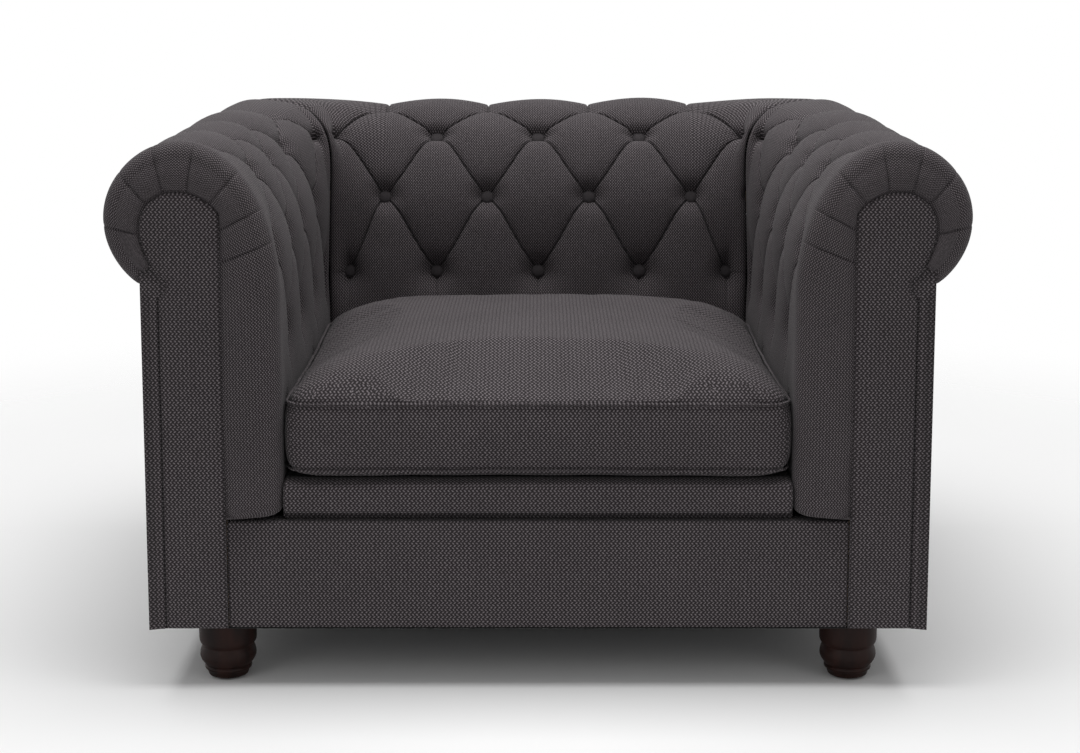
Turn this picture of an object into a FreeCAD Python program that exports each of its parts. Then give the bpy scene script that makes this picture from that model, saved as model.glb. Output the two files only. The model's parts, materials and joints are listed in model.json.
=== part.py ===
import FreeCAD, Part
import math
import os
import Sketcher
from FreeCAD import Vector

os.makedirs("parts", exist_ok=True)
doc = FreeCAD.newDocument("chesterfield_armchair")

# Driving dimensions, in millimetres unless a name says otherwise.
# "out" runs from the inner face of an arm or of the back towards the outside of the chair.
# "deep" runs from the front plane of the chair towards its rear.
DRIVING_SIZES = {
    # Upholstered outline; a rise is measured up from the top of the seat rails
    "seat_width": 704.0,
    "seat_deep": 675.0,
    "roll_centre_out": 130.0,
    "roll_radius": 108.0,
    "crest_height": 766.0,
    "shoulder_drop": 214.0,
    "pad_thickness": 78.0,
    "pad_bottom_rise": 9.0,
    "front_edge_round": 20.0,
    "outside_out": 178.0,
    "cover_thickness": 6.0,
    "soft_gap": 0.3,
    # Buttoned pattern; a drop is measured down from the crest
    "plain_face_drop": 351.0,
    "low_row_drop": 286.0,
    "middle_row_drop": 156.0,
    "high_row_drop": 48.0,
    "pleat_row_drop": 9.0,
    "arm_column_pitch": 165.0,
    "arm_first_column": 170.0,
    "back_side_margin": 32.0,
    "back_last_step": 62.0,
    "button_dimple": 24.0,
    "pleat_dimple": 8.0,
    "crest_dimple": 10.0,
    "button_seat": 12.0,
    "button_radius": 11.0,
    "button_height": 8.0,
    "button_side_height": 3.0,
    "mitre_overrun": 40.0,
    "loft_overrun": 5.0,
    "cut_margin": 1.0,
    # Wooden frame
    "base_height": 88.0,
    "rail_height": 150.0,
    "rail_thickness": 45.0,
    "front_rail_thickness": 30.0,
    "frame_top_drop": 166.0,
    "top_rail_thickness": 25.0,
    "tack_rail_rise": 24.0,
    "tack_rail_height": 40.0,
    "tack_rail_thickness": 25.0,
    "stump_deep": 45.0,
    "post_width": 45.0,
    "spring_rail_height": 30.0,
    "corner_block_width": 80.0,
    "corner_block_deep": 86.0,
    "corner_block_height": 60.0,
    "scroll_board_thickness": 22.0,
    # Arm facing; a drop is measured down from the crest, and the last rows bow its arcs
    "facing_thickness": 14.0,
    "facing_width": 85.2,
    "facing_head_out": 187.0,
    "facing_head_drop": 118.0,
    "facing_arch_drop": 68.0,
    "facing_arch_out": 135.0,
    "facing_shoulder_drop": 98.0,
    "facing_neck_out": 153.0,
    "facing_neck_drop": 190.0,
    "facing_foot_of_scroll_drop": 217.0,
    "neck_fillet_out": 1.5,
    "neck_fillet_drop": 2.0,
    "cheek_bow": 8.0,
    "brow_bow_out": 14.0,
    "brow_bow_rise": 35.0,
    "shoulder_bow_out": 21.0,
    "shoulder_bow_rise": 20.0,
    "neck_tuck": 4.0,
    # Webbing and springs
    "webbing_width": 50.0,
    "webbing_thickness": 1.7,
    "arm_webbing_count": 5,
    "back_webbing_count": 6,
    "spring_count": 7,
    "spring_pitch": 96.0,
    "spring_width": 50.0,
    "spring_bar_count": 28,
    "spring_wire_radius": 2.0,
    "tie_wire_radius": 1.2,
    "tie_wire_count": 2,
    "clip_width": 26.0,
    "clip_deep": 14.0,
    "clip_height": 10.0,
    # Seat deck, lip and apron
    "deck_rise": 60.7,
    "lip_rise": 12.0,
    "lip_edge_drop": 6.7,
    "lip_setback": 4.0,
    "lip_nose_radius": 14.0,
    "lip_hem_radius": 6.0,
    "apron_rise": 2.0,
    "apron_setback": 6.0,
    "apron_side_gap": 1.0,
    "dust_cover_thickness": 1.0,
    # Seat cushion
    "cushion_side_gap": 5.0,
    "cushion_front": 5.0,
    "cushion_rear_gap": 15.0,
    "cushion_welt_radius": 2.4,
    "cushion_low_welt_rise": 13.3,
    "cushion_border_height": 93.0,
    "cushion_crown": 61.0,
    "cushion_crown_reach": 185.0,
    "cushion_corner_radius": 30.0,
    "cushion_draw_in": 5.0,
    "cushion_zip_side_draw_in": 1.0,
    "cushion_bottom_tuck": 14.0,
    "cushion_side_swell": 3.5,
    "cushion_corner_growth": 0.35,
    "cushion_cover_thickness": 2.5,
    "zip_length": 560.0,
    "zip_tape_height": 24.0,
    "zip_tape_thickness": 1.2,
    "slider_length": 14.0,
    "slider_height": 9.0,
    "slider_thickness": 4.0,
    "pull_width": 5.0,
    "pull_thickness": 1.2,
    "pull_length": 20.0,
    # Feet
    "foot_side_inset": 90.0,
    "foot_deep_inset": 65.0,
    "foot_top_radius": 40.5,
    "foot_groove_radius": 36.5,
    "foot_groove_height": 45.0,
    "foot_groove_width": 2.5,
    "foot_collar_rise": 9.5,
    "foot_ring_bulge": 1.5,
    "foot_ring_undercut": 2.0,
    "foot_bulge_radius": 40.0,
    "foot_bulge_height": 31.0,
    "foot_ring_radius": 32.0,
    "foot_ring_height": 17.0,
    "foot_ring_band": 6.0,
    "foot_bottom_radius": 28.0,
    "glide_radius": 15.0,
    "glide_height": 3.0,
    "bolt_radius": 4.0,
    "bolt_in_foot": 45.0,
    "bolt_in_block": 40.0,
    "thread_gap": 0.1,
    "tee_nut_barrel_radius": 6.0,
    "tee_nut_barrel_length": 14.0,
    "tee_nut_flange_radius": 11.0,
    "tee_nut_flange_thickness": 1.5,
}

sheet = doc.addObject("Spreadsheet::Sheet", "Sizes")
for row, (alias, number) in enumerate(DRIVING_SIZES.items(), start=1):
    sheet.set(f"A{row}", alias)
    sheet.set(f"B{row}", str(number))
    sheet.setAlias(f"B{row}", alias)
doc.recompute()


class Size:
    """A length that keeps its number together with the sheet formula that gives it."""

    def __init__(self, number, formula):
        self.number = float(number)
        self.formula = formula

    def __float__(self):
        return self.number

    def __neg__(self):
        return Size(-self.number, f"(-1 * {self.formula})")

    def __add__(self, other):
        other = as_size(other)
        return Size(self.number + other.number, f"({self.formula} + {other.formula})")

    def __sub__(self, other):
        other = as_size(other)
        return Size(self.number - other.number, f"({self.formula} - {other.formula})")

    def __mul__(self, other):
        other = as_size(other)
        return Size(self.number * other.number, f"({self.formula} * {other.formula})")

    def __truediv__(self, factor):
        return Size(self.number / factor, f"({self.formula} / {factor})")

    __radd__ = __add__
    __rmul__ = __mul__

    def root(self):
        return Size(math.sqrt(self.number), f"sqrt({self.formula})")


def as_size(value):
    return value if isinstance(value, Size) else Size(value, str(value))


def size(alias):
    return Size(sheet.get(alias), f"Sizes.{alias}")


soft_gap = size("soft_gap")
pad_thickness = size("pad_thickness")
roll_centre_out = size("roll_centre_out")
roll_radius = size("roll_radius")
crest_height = size("crest_height")
half_seat = size("seat_width") / 2
seat_deep = size("seat_deep")
chair_deep = seat_deep + roll_centre_out + roll_radius
front = -(chair_deep / 2)
roll_centre_height = crest_height - roll_radius
frame_out = size("outside_out") - size("cover_thickness")
frame_in = pad_thickness + soft_gap + size("webbing_thickness")
base_height = size("base_height")
rail_top = base_height + size("rail_height")
rail_in = frame_out - size("rail_thickness")
pad_bottom = rail_top + size("pad_bottom_rise")
deck_top = rail_top + size("deck_rise")
tack_rail_bottom = rail_top + size("tack_rail_rise")
frame_top = crest_height - size("frame_top_drop")
facing_foot_of_scroll = crest_height - size("facing_foot_of_scroll_drop")
cut_margin = size("cut_margin")
top_rail_bottom = frame_top - size("top_rail_thickness")
facing_in = pad_thickness + soft_gap
facing_out = facing_in + size("facing_width")
board_front = size("facing_thickness")
board_back = board_front + size("scroll_board_thickness")
frame_back = seat_deep + frame_out
SIDES = {"left": -1, "right": 1}

pieces = []


def keep(item, label):
    """Gives a finished piece its name and puts it on the list of files to write."""
    item.Label = label
    pieces.append(item)
    return item


def across(side, out_low, out_high):
    """X range of something that lies between two out-distances on one arm."""
    low = half_seat + out_low
    high = half_seat + out_high
    return (low, high) if side > 0 else (-high, -low)


def along(deep_low, deep_high):
    """Y range of something that lies between two depths behind the front plane."""
    return front + deep_low, front + deep_high


def middle(half_width):
    """X range centred on the chair."""
    return -half_width, half_width


def block(name, x_range, y_range, z_range):
    """A plain board between two corners."""
    board = doc.addObject("Part::Box", name)
    for edge, axis, (low, high) in zip(
        ("Length", "Width", "Height"), "xyz", (x_range, y_range, z_range)
    ):
        board.setExpression(edge, (as_size(high) - low).formula)
        board.setExpression(f".Placement.Base.{axis}", as_size(low).formula)
    return board


def upright_rod(name, radius, x, y, z_range):
    """A round rod that stands along Z."""
    rod = doc.addObject("Part::Cylinder", name)
    rod.setExpression("Radius", radius.formula)
    rod.setExpression("Height", (z_range[1] - z_range[0]).formula)
    for axis, place in zip("xyz", (x, y, z_range[0])):
        rod.setExpression(f".Placement.Base.{axis}", as_size(place).formula)
    return rod


def cross_rod(name, radius, x_range, y, z):
    """A round rod that lies along X."""
    rod = doc.addObject("Part::Cylinder", name)
    rod.Placement = FreeCAD.Placement(Vector(), FreeCAD.Rotation(Vector(0, 1, 0), 90))
    rod.setExpression("Radius", radius.formula)
    rod.setExpression("Height", (x_range[1] - x_range[0]).formula)
    for axis, place in zip("xyz", (x_range[0], y, z)):
        rod.setExpression(f".Placement.Base.{axis}", as_size(place).formula)
    return rod


def group(name, members):
    """Several separate solids of one kind under one name."""
    compound = doc.addObject("Part::Compound", name)
    compound.Links = members
    return compound


def cut(name, base, tool):
    result = doc.addObject("Part::Cut", name)
    result.Base = base
    result.Tool = tool
    return result


def shaped(name, shape):
    """A piece whose curved form comes straight from its outline curves."""
    feature = doc.addObject("Part::Feature", name)
    feature.Shape = shape
    return feature


def body_plane(body, role):
    for feature in body.Origin.OriginFeatures:
        if feature.Role == role:
            return feature
    raise ValueError(role)


def closed_sketch(body, role, path):
    """A closed outline on one of the body's planes.

    Each step of the path is (u, v) for a straight side that ends there, or
    (u, v, middle_u, middle_v) for an arc that passes through the middle point.
    """
    sketch = body.newObject("Sketcher::SketchObject", f"{body.Name}_outline")
    sketch.AttachmentSupport = (body_plane(body, role), "")
    sketch.MapMode = "FlatFace"
    starts = [path[-1]] + path[:-1]
    ends = []
    for start, step in zip(starts, path):
        first = Vector(float(start[0]), float(start[1]), 0)
        last = Vector(float(step[0]), float(step[1]), 0)
        if len(step) == 4:
            curve = Part.Arc(first, Vector(float(step[2]), float(step[3]), 0), last)
        else:
            curve = Part.LineSegment(first, last)
        index = sketch.addGeometry(curve, False)
        reversed_arc = sketch.getPoint(index, 1).distanceToPoint(first) > 1e-6
        ends.append((index, 2, 1) if reversed_arc else (index, 1, 2))
    for place, (index, start_point, end_point) in enumerate(ends):
        next_index, next_start, _ = ends[(place + 1) % len(ends)]
        sketch.addConstraint(
            Sketcher.Constraint("Coincident", index, end_point, next_index, next_start)
        )
    for (index, _, end_point), step in zip(ends, path):
        for kind, value in zip(("DistanceX", "DistanceY"), step[:2]):
            if abs(float(value)) < 1e-9:
                axis = -2 if kind == "DistanceX" else -1
                sketch.addConstraint(Sketcher.Constraint("PointOnObject", index, end_point, axis))
                continue
            number = sketch.addConstraint(
                Sketcher.Constraint(kind, -1, 1, index, end_point, float(value))
            )
            sketch.setExpression(f"Constraints[{number}]", as_size(value).formula)
    return sketch


def padded_body(name, role, paths_and_lengths, low):
    """Outlines carried straight along their plane's normal from low, joined in one solid."""
    body = doc.addObject("PartDesign::Body", name)
    for path, length in paths_and_lengths:
        sketch = closed_sketch(body, role, path)
        pad = body.newObject("PartDesign::Pad", f"{name}_pad")
        pad.Profile = sketch
        pad.setExpression("Length", length.formula)
        # The normal of the XZ plane points towards the front, so that pad is turned round.
        pad.Reversed = role == "XZ_Plane"
        body.Tip = pad
    axis = {"XZ_Plane": "y", "YZ_Plane": "x", "XY_Plane": "z"}[role]
    body.setExpression(f".Placement.Base.{axis}", as_size(low).formula)
    return body


def turned_body(name, path, x, y):
    """A half profile (radius, height) turned round the upright axis at x, y."""
    body = doc.addObject("PartDesign::Body", name)
    sketch = closed_sketch(body, "XZ_Plane", path)
    turned = body.newObject("PartDesign::Revolution", f"{name}_turned")
    turned.Profile = sketch
    turned.ReferenceAxis = (sketch, ["V_Axis"])
    turned.Angle = 360
    body.Tip = turned
    body.setExpression(".Placement.Base.x", as_size(x).formula)
    body.setExpression(".Placement.Base.y", as_size(y).formula)
    return body


# Wooden frame

facing_width_in = half_seat + facing_in
keep(
    block(
        "front_rail",
        middle(facing_width_in),
        along(board_front, board_front + size("front_rail_thickness")),
        (base_height, rail_top),
    ),
    "front_rail",
)
keep(
    block(
        "rear_rail",
        middle(half_seat + rail_in),
        along(frame_back - size("rail_thickness"), frame_back),
        (base_height, rail_top),
    ),
    "rear_rail",
)
spring_rail_front = seat_deep + frame_in
keep(
    block(
        "spring_rail",
        middle(half_seat + rail_in),
        along(spring_rail_front, spring_rail_front + size("front_rail_thickness")),
        (rail_top - size("spring_rail_height"), rail_top),
    ),
    "spring_rail",
)
for side_name, side in SIDES.items():
    keep(
        block(
            f"side_rail_{side_name}",
            across(side, rail_in, frame_out),
            along(board_back, frame_back),
            (base_height, rail_top),
        ),
        f"side_rail_{side_name}",
    )
    keep(
        block(
            f"arm_stump_{side_name}",
            across(side, rail_in, frame_out),
            along(board_back, board_back + size("stump_deep")),
            (rail_top, top_rail_bottom),
        ),
        f"arm_stump_{side_name}",
    )
    keep(
        block(
            f"rear_post_{side_name}",
            across(side, rail_in, frame_out),
            along(frame_back - size("post_width"), frame_back),
            (rail_top, top_rail_bottom),
        ),
        f"rear_post_{side_name}",
    )
    keep(
        block(
            f"arm_top_rail_{side_name}",
            across(side, frame_in, frame_out),
            along(board_back, frame_back),
            (top_rail_bottom, frame_top),
        ),
        f"arm_top_rail_{side_name}",
    )
    keep(
        block(
            f"arm_tack_rail_{side_name}",
            across(side, frame_in, frame_in + size("tack_rail_thickness")),
            along(board_back, seat_deep + frame_in + size("tack_rail_thickness")),
            (tack_rail_bottom, tack_rail_bottom + size("tack_rail_height")),
        ),
        f"arm_tack_rail_{side_name}",
    )
keep(
    block(
        "back_post_centre",
        middle(size("post_width") / 2),
        along(frame_back - size("rail_thickness"), frame_back),
        (rail_top, top_rail_bottom),
    ),
    "back_post_centre",
)
keep(
    block(
        "back_top_rail",
        middle(half_seat + frame_in),
        along(seat_deep + frame_in, frame_back),
        (top_rail_bottom, frame_top),
    ),
    "back_top_rail",
)
keep(
    block(
        "back_tack_rail",
        middle(half_seat + frame_in),
        along(seat_deep + frame_in, seat_deep + frame_in + size("tack_rail_thickness")),
        (tack_rail_bottom, tack_rail_bottom + size("tack_rail_height")),
    ),
    "back_tack_rail",
)

# Feet, their bolts, nuts and glides, and the corner blocks that carry them

foot_x = half_seat + size("outside_out") - size("foot_side_inset")
foot_front_deep = size("foot_deep_inset")
foot_rear_deep = frame_back - size("foot_deep_inset")
block_heights = (base_height, base_height + size("corner_block_height"))
front_block_deep = board_front + size("front_rail_thickness")
rear_block_deep = frame_back - size("rail_thickness")
bolt_radius = size("bolt_radius")
bolt_bore = bolt_radius + size("thread_gap")
nut_bore = size("tee_nut_barrel_radius") + size("thread_gap")
glide_height = size("glide_height")


def foot_path():
    """Half profile of a turned foot, from the floor up, ready to be turned."""
    ring_low = size("foot_ring_height") - size("foot_ring_band")
    ring_high = size("foot_ring_height")
    groove_height = size("foot_groove_height")
    groove = size("foot_groove_radius")
    ring = size("foot_ring_radius")
    top = size("foot_top_radius")
    groove_top = groove_height + size("foot_groove_width")
    collar = size("foot_collar_rise")
    return [
        (bolt_bore, glide_height),
        (size("foot_bottom_radius"), glide_height),
        (ring - size("foot_ring_undercut"), ring_low),
        (ring, ring_high, ring + size("foot_ring_bulge"), (ring_low + ring_high) / 2),
        (groove, groove_height, size("foot_bulge_radius"), size("foot_bulge_height")),
        (groove, groove_top),
        (top, groove_top + collar, groove * 0.25 + top * 0.75, groove_top + collar * 0.3),
        (top, base_height),
        (bolt_bore, base_height),
    ]


def tee_nut_path(low):
    """Half profile of a tee nut whose barrel starts at a height and ends in its flange."""
    barrel = size("tee_nut_barrel_radius")
    flange = size("tee_nut_flange_radius")
    shoulder = low + size("tee_nut_barrel_length")
    top = shoulder + size("tee_nut_flange_thickness")
    return [
        (bolt_bore, low),
        (barrel, low),
        (barrel, shoulder),
        (flange, shoulder),
        (flange, top),
        (bolt_bore, top),
    ]


block_top = block_heights[1]
nut_low = block_top - size("tee_nut_barrel_length")
bolt_heights = (base_height - size("bolt_in_foot"), base_height + size("bolt_in_block"))
blocks = []
bolts = []
nuts = []
glides = []
sheet_holes = []
for end_name, foot_deep in (("front", foot_front_deep), ("rear", foot_rear_deep)):
    if end_name == "front":
        block_deep = (front_block_deep, front_block_deep + size("corner_block_deep"))
    else:
        block_deep = (rear_block_deep - size("corner_block_deep"), rear_block_deep)
    for side_name, side in SIDES.items():
        corner = f"{end_name}_{side_name}"
        place_x = foot_x * side
        place_y = front + foot_deep
        keep(
            turned_body(f"foot_{corner}", foot_path(), place_x, place_y),
            f"foot_{corner}",
        )
        bolts.append(upright_rod(f"bolt_{corner}", bolt_radius, place_x, place_y, bolt_heights))
        glides.append(
            upright_rod(
                f"glide_{corner}",
                size("glide_radius"),
                place_x,
                place_y,
                (Size(0.0, "0"), glide_height),
            )
        )
        nuts.append(turned_body(f"tee_nut_{corner}", tee_nut_path(nut_low), place_x, place_y))
        side_low, side_high = across(side, rail_in - size("corner_block_width"), rail_in)
        blank = block(
            f"corner_blank_{corner}", (side_low, side_high), along(*block_deep), block_heights
        )
        shank_hole = upright_rod(
            f"shank_hole_{corner}",
            bolt_bore,
            place_x,
            place_y,
            (base_height - cut_margin, block_top),
        )
        nut_hole = upright_rod(
            f"nut_hole_{corner}",
            nut_bore,
            place_x,
            place_y,
            (nut_low - size("thread_gap") * 2, block_top + cut_margin),
        )
        bored = cut(f"corner_bored_{corner}", blank, shank_hole)
        blocks.append(cut(f"corner_block_{corner}", bored, nut_hole))
        sheet_holes.append(
            upright_rod(
                f"sheet_hole_{corner}",
                size("foot_top_radius") + soft_gap,
                place_x,
                place_y,
                (
                    base_height - size("dust_cover_thickness") - cut_margin,
                    base_height + cut_margin,
                ),
            )
        )
keep(group("corner_blocks", blocks), "corner_blocks")
keep(group("hanger_bolts", bolts), "hanger_bolts")
keep(group("tee_nuts", nuts), "tee_nuts")
keep(group("foot_glides", glides), "foot_glides")

dust_sheet = block(
    "dust_sheet",
    middle(half_seat + frame_out),
    along(size("apron_setback"), frame_back),
    (base_height - size("dust_cover_thickness"), base_height),
)
dust_holes = doc.addObject("Part::MultiFuse", "dust_holes")
dust_holes.Shapes = sheet_holes
keep(cut("dust_cover", dust_sheet, dust_holes), "dust_cover")


# Scroll boards, facings and outside covers


def facing_path(side, grow):
    """Outline of the scroll-shaped arm front in X and Z, grown on its curved side."""
    inner = facing_in
    outer = facing_out + grow
    head_out = size("facing_head_out") + grow
    head_height = crest_height - size("facing_head_drop")
    arch_out = size("facing_arch_out")
    arch_height = crest_height - size("facing_arch_drop") + grow
    shoulder = crest_height - size("facing_shoulder_drop") + grow
    neck_out = size("facing_neck_out") + grow
    neck_height = crest_height - size("facing_neck_drop")
    outline = [
        (inner, base_height),
        (outer, base_height),
        (outer, facing_foot_of_scroll),
        (
            neck_out,
            neck_height,
            neck_out + size("neck_fillet_out"),
            (facing_foot_of_scroll + neck_height) / 2 - size("neck_fillet_drop"),
        ),
        (
            head_out,
            head_height,
            head_out - size("cheek_bow"),
            (neck_height + head_height) / 2,
        ),
        (
            arch_out,
            arch_height,
            head_out - size("brow_bow_out"),
            head_height + size("brow_bow_rise"),
        ),
        (
            inner,
            shoulder,
            inner + size("shoulder_bow_out"),
            shoulder + size("shoulder_bow_rise"),
        ),
    ]
    path = []
    for step in outline:
        place = [(half_seat + step[0]) * side, as_size(step[1])]
        if len(step) == 4:
            place += [(half_seat + step[2]) * side, as_size(step[3])]
        path.append(tuple(place))
    return path


def outline_face(path, y):
    """The flat face inside an outline, standing at one depth."""
    corners = [Vector(float(step[0]), y, float(step[1])) for step in path]
    edges = []
    for place, step in enumerate(path):
        start = corners[place - 1]
        if len(step) == 4:
            through = Vector(float(step[2]), y, float(step[3]))
            edges.append(Part.Arc(start, through, corners[place]).toShape())
        else:
            edges.append(Part.LineSegment(start, corners[place]).toShape())
    return Part.Face(Part.Wire(edges))


def roll_underside(out):
    """Height of the roll's underside at a place beyond its centre line."""
    reach = out - roll_centre_out
    return roll_centre_height - (roll_radius * roll_radius - reach * reach).root()


cover_top = roll_underside(frame_out) - soft_gap
return_out = facing_out + soft_gap
for side_name, side in SIDES.items():
    keep(
        padded_body(
            f"arm_scroll_board_{side_name}",
            "XZ_Plane",
            [(facing_path(side, 0.0), size("scroll_board_thickness"))],
            front + board_front,
        ),
        f"arm_scroll_board_{side_name}",
    )
    keep(
        padded_body(
            f"arm_facing_{side_name}",
            "XZ_Plane",
            [(facing_path(side, 0.0), board_front)],
            front,
        ),
        f"arm_facing_{side_name}",
    )
    outer_x = (half_seat + size("outside_out")) * side
    cover_x = (half_seat + frame_out) * side
    return_x = (half_seat + return_out) * side
    return_back = front + board_back
    cover_back = front + frame_back + size("cover_thickness")
    side_panel = [
        (cover_x, front),
        (outer_x, front),
        (outer_x, cover_back),
        (cover_x, cover_back),
    ]
    front_return = [
        (return_x, front),
        (outer_x, front),
        (outer_x, return_back),
        (return_x, return_back),
    ]
    keep(
        padded_body(
            f"outside_arm_{side_name}",
            "XY_Plane",
            [
                (side_panel, cover_top - base_height),
                (front_return, facing_foot_of_scroll - base_height),
            ],
            base_height,
        ),
        f"outside_arm_{side_name}",
    )
keep(
    block(
        "outside_back",
        middle(half_seat + frame_out),
        along(frame_back, frame_back + size("cover_thickness")),
        (base_height, cover_top),
    ),
    "outside_back",
)

# Apron, platform lip and seat deck

apron_half = facing_width_in - size("apron_side_gap")
keep(
    block(
        "front_apron",
        middle(apron_half),
        along(size("apron_setback"), board_front),
        (base_height, rail_top + size("apron_rise")),
    ),
    "front_apron",
)
front_clip_y = front + board_front + size("front_rail_thickness") / 2
clip_deep = size("clip_deep")
lip_front = front + size("lip_setback")
lip_back = front_clip_y + clip_deep / 2 + soft_gap
lip_bottom = rail_top + size("lip_rise")
lip_edge = deck_top - size("lip_edge_drop")
lip_nose = size("lip_nose_radius")
lip_hem = size("lip_hem_radius")
tongue_front = front + board_front + soft_gap
tongue_back = front_clip_y - clip_deep / 2 - soft_gap
hem_way = lip_hem * 0.3
lip_path = [
    (lip_back, lip_bottom),
    (lip_back, deck_top),
    (lip_front + lip_nose, lip_edge),
    (lip_front, lip_edge - lip_nose, lip_front + lip_nose * 0.3, lip_edge - lip_nose * 0.3),
    (lip_front, lip_bottom + lip_hem),
    (lip_front + lip_hem, lip_bottom, lip_front + hem_way, lip_bottom + hem_way),
    (tongue_front, lip_bottom),
    (tongue_front, rail_top + soft_gap),
    (tongue_back, rail_top + soft_gap),
    (tongue_back, lip_bottom),
]
lip_reach = half_seat - soft_gap
keep(padded_body("front_lip", "YZ_Plane", [(lip_path, lip_reach * 2)], -lip_reach), "front_lip")
spring_wire = size("spring_wire_radius")
spring_height = rail_top + size("clip_height") / 2
deck_bottom = spring_height + spring_wire + soft_gap
keep(
    block(
        "seat_deck_pad",
        middle(half_seat - soft_gap),
        (lip_back, front + seat_deep - soft_gap),
        (deck_bottom, deck_top),
    ),
    "seat_deck_pad",
)

# Webbing of the arms and of the back, and the seat springs


def evenly(low, high, count, width):
    """Starting places of strips that share a length evenly."""
    step = (high - low) / count
    return [low + step * place + (step - width) / 2 for place in range(count)]


web_width = size("webbing_width")
web_range = (pad_thickness + soft_gap, frame_in)
web_heights = (tack_rail_bottom, frame_top)
for side_name, side in SIDES.items():
    strips = []
    strip_places = evenly(board_back, seat_deep, int(sheet.get("arm_webbing_count")), web_width)
    for place, deep in enumerate(strip_places):
        strips.append(
            block(
                f"arm_web_{side_name}_{place}",
                across(side, *web_range),
                along(deep, deep + web_width),
                web_heights,
            )
        )
    keep(group(f"arm_webbing_{side_name}", strips), f"arm_webbing_{side_name}")
back_strips = []
strip_places = evenly(-half_seat, half_seat, int(sheet.get("back_webbing_count")), web_width)
for place, start in enumerate(strip_places):
    back_strips.append(
        block(
            f"back_web_{place}",
            (start, start + web_width),
            along(seat_deep + web_range[0], seat_deep + web_range[1]),
            web_heights,
        )
    )
keep(group("back_webbing", back_strips), "back_webbing")


def spring_shape(centre_x, first_y, last_y, height):
    """One sinuous spring: bars along X joined by half turns, swept by its wire."""
    bar_count = int(sheet.get("spring_bar_count"))
    pitch = (last_y - first_y) / (bar_count - 1)
    turn = pitch / 2
    reach = float(size("spring_width")) / 2 - turn
    edges = []
    for bar in range(bar_count):
        heading = 1 if bar % 2 == 0 else -1
        y = first_y + pitch * bar
        bar_end = Vector(centre_x + reach * heading, y, height)
        edges.append(Part.LineSegment(Vector(centre_x - reach * heading, y, height), bar_end))
        if bar < bar_count - 1:
            crown = Vector(centre_x + (reach + turn) * heading, y + turn, height)
            edges.append(Part.Arc(bar_end, crown, bar_end + Vector(0, pitch, 0)))
    path = Part.Wire([edge.toShape() for edge in edges])
    start = edges[0].StartPoint
    section = Part.Wire(Part.Circle(start, Vector(1, 0, 0), float(spring_wire)).toShape())
    return path.makePipeShell([section], True, False)


clip_bore = spring_wire + size("thread_gap")
rear_clip_y = front + spring_rail_front + size("front_rail_thickness") / 2
springs = []
clips = []
spring_count = int(sheet.get("spring_count"))
for number in range(spring_count):
    centre = size("spring_pitch") * (number - (spring_count - 1) / 2)
    springs.append(
        spring_shape(
            float(centre), float(front_clip_y), float(rear_clip_y), float(spring_height)
        )
    )
    half_clip = size("clip_width") / 2
    for end_name, clip_y in (("front", front_clip_y), ("rear", rear_clip_y)):
        clip_x = (centre - half_clip, centre + half_clip)
        blank = block(
            f"clip_blank_{end_name}_{number}",
            clip_x,
            (clip_y - clip_deep / 2, clip_y + clip_deep / 2),
            (rail_top, rail_top + size("clip_height")),
        )
        bore = cross_rod(
            f"clip_bore_{end_name}_{number}",
            clip_bore,
            (clip_x[0] - cut_margin, clip_x[1] + cut_margin),
            clip_y,
            spring_height,
        )
        clips.append(cut(f"clip_{end_name}_{number}", blank, bore))
keep(shaped("sinuous_springs", Part.Compound(springs)), "sinuous_springs")
keep(group("spring_clips", clips), "spring_clips")

tie_radius = size("tie_wire_radius")
tie_height = spring_height - spring_wire - tie_radius - size("thread_gap")
tie_reach = size("spring_pitch") * (spring_count / 2)
tie_count = int(sheet.get("tie_wire_count"))
ties = []
for number in range(tie_count):
    tie_y = front + seat_deep * ((number + 1) / (tie_count + 1))
    ties.append(cross_rod(f"tie_{number}", tie_radius, (-tie_reach, tie_reach), tie_y, tie_height))
keep(group("spring_tie_wires", ties), "spring_tie_wires")

# Buttoned pads of the arms and of the back
# A place on the pad's face is given by its turn: below zero on the upright part,
# from zero up on the shoulder, a quarter turn at the crest.

shoulder_drop = float(size("shoulder_drop"))
shoulder_reach = float(roll_centre_out)
shoulder_start = float(crest_height) - shoulder_drop
crest_turn = math.pi / 2


def face_turn(height):
    rise = (height - shoulder_start) / shoulder_drop
    return math.asin(rise) if rise > 0 else rise


def face_place(turn, dimple=0.0):
    """Out-distance and height on the pad's face, sunk by a dimple along its normal."""
    if turn <= 0:
        return dimple, shoulder_start + shoulder_drop * turn
    lean_out = math.cos(turn) / shoulder_reach
    lean_up = math.sin(turn) / shoulder_drop
    lean = math.hypot(lean_out, lean_up)
    return (
        shoulder_reach * (1 - math.cos(turn)) + dimple * lean_out / lean,
        shoulder_start + shoulder_drop * math.sin(turn) - dimple * lean_up / lean,
    )


def face_normal(turn):
    """Unit direction out of the pad's face, as (out, up)."""
    surface = face_place(turn)
    sunk = face_place(turn, 1.0)
    return surface[0] - sunk[0], surface[1] - sunk[1]


def shifted(turn, distance):
    """The turn that lies a distance further up along the face."""
    bend = max(turn, 0.0)
    stretch = math.hypot(shoulder_reach * math.sin(bend), shoulder_drop * math.cos(bend))
    return turn + distance / stretch


low_turn = face_turn(float(crest_height - size("low_row_drop")))
middle_turn = face_turn(float(crest_height - size("middle_row_drop")))
high_turn = face_turn(float(crest_height - size("high_row_drop")))
pleat_turn = face_turn(float(crest_height - size("pleat_row_drop")))
plain_turn = face_turn(float(crest_height - size("plain_face_drop")))
half_button_seat = float(size("button_seat")) / 2
button_dimple = float(size("button_dimple"))
pleat_dimple = float(size("pleat_dimple"))
crest_dimple = float(size("crest_dimple"))

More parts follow.
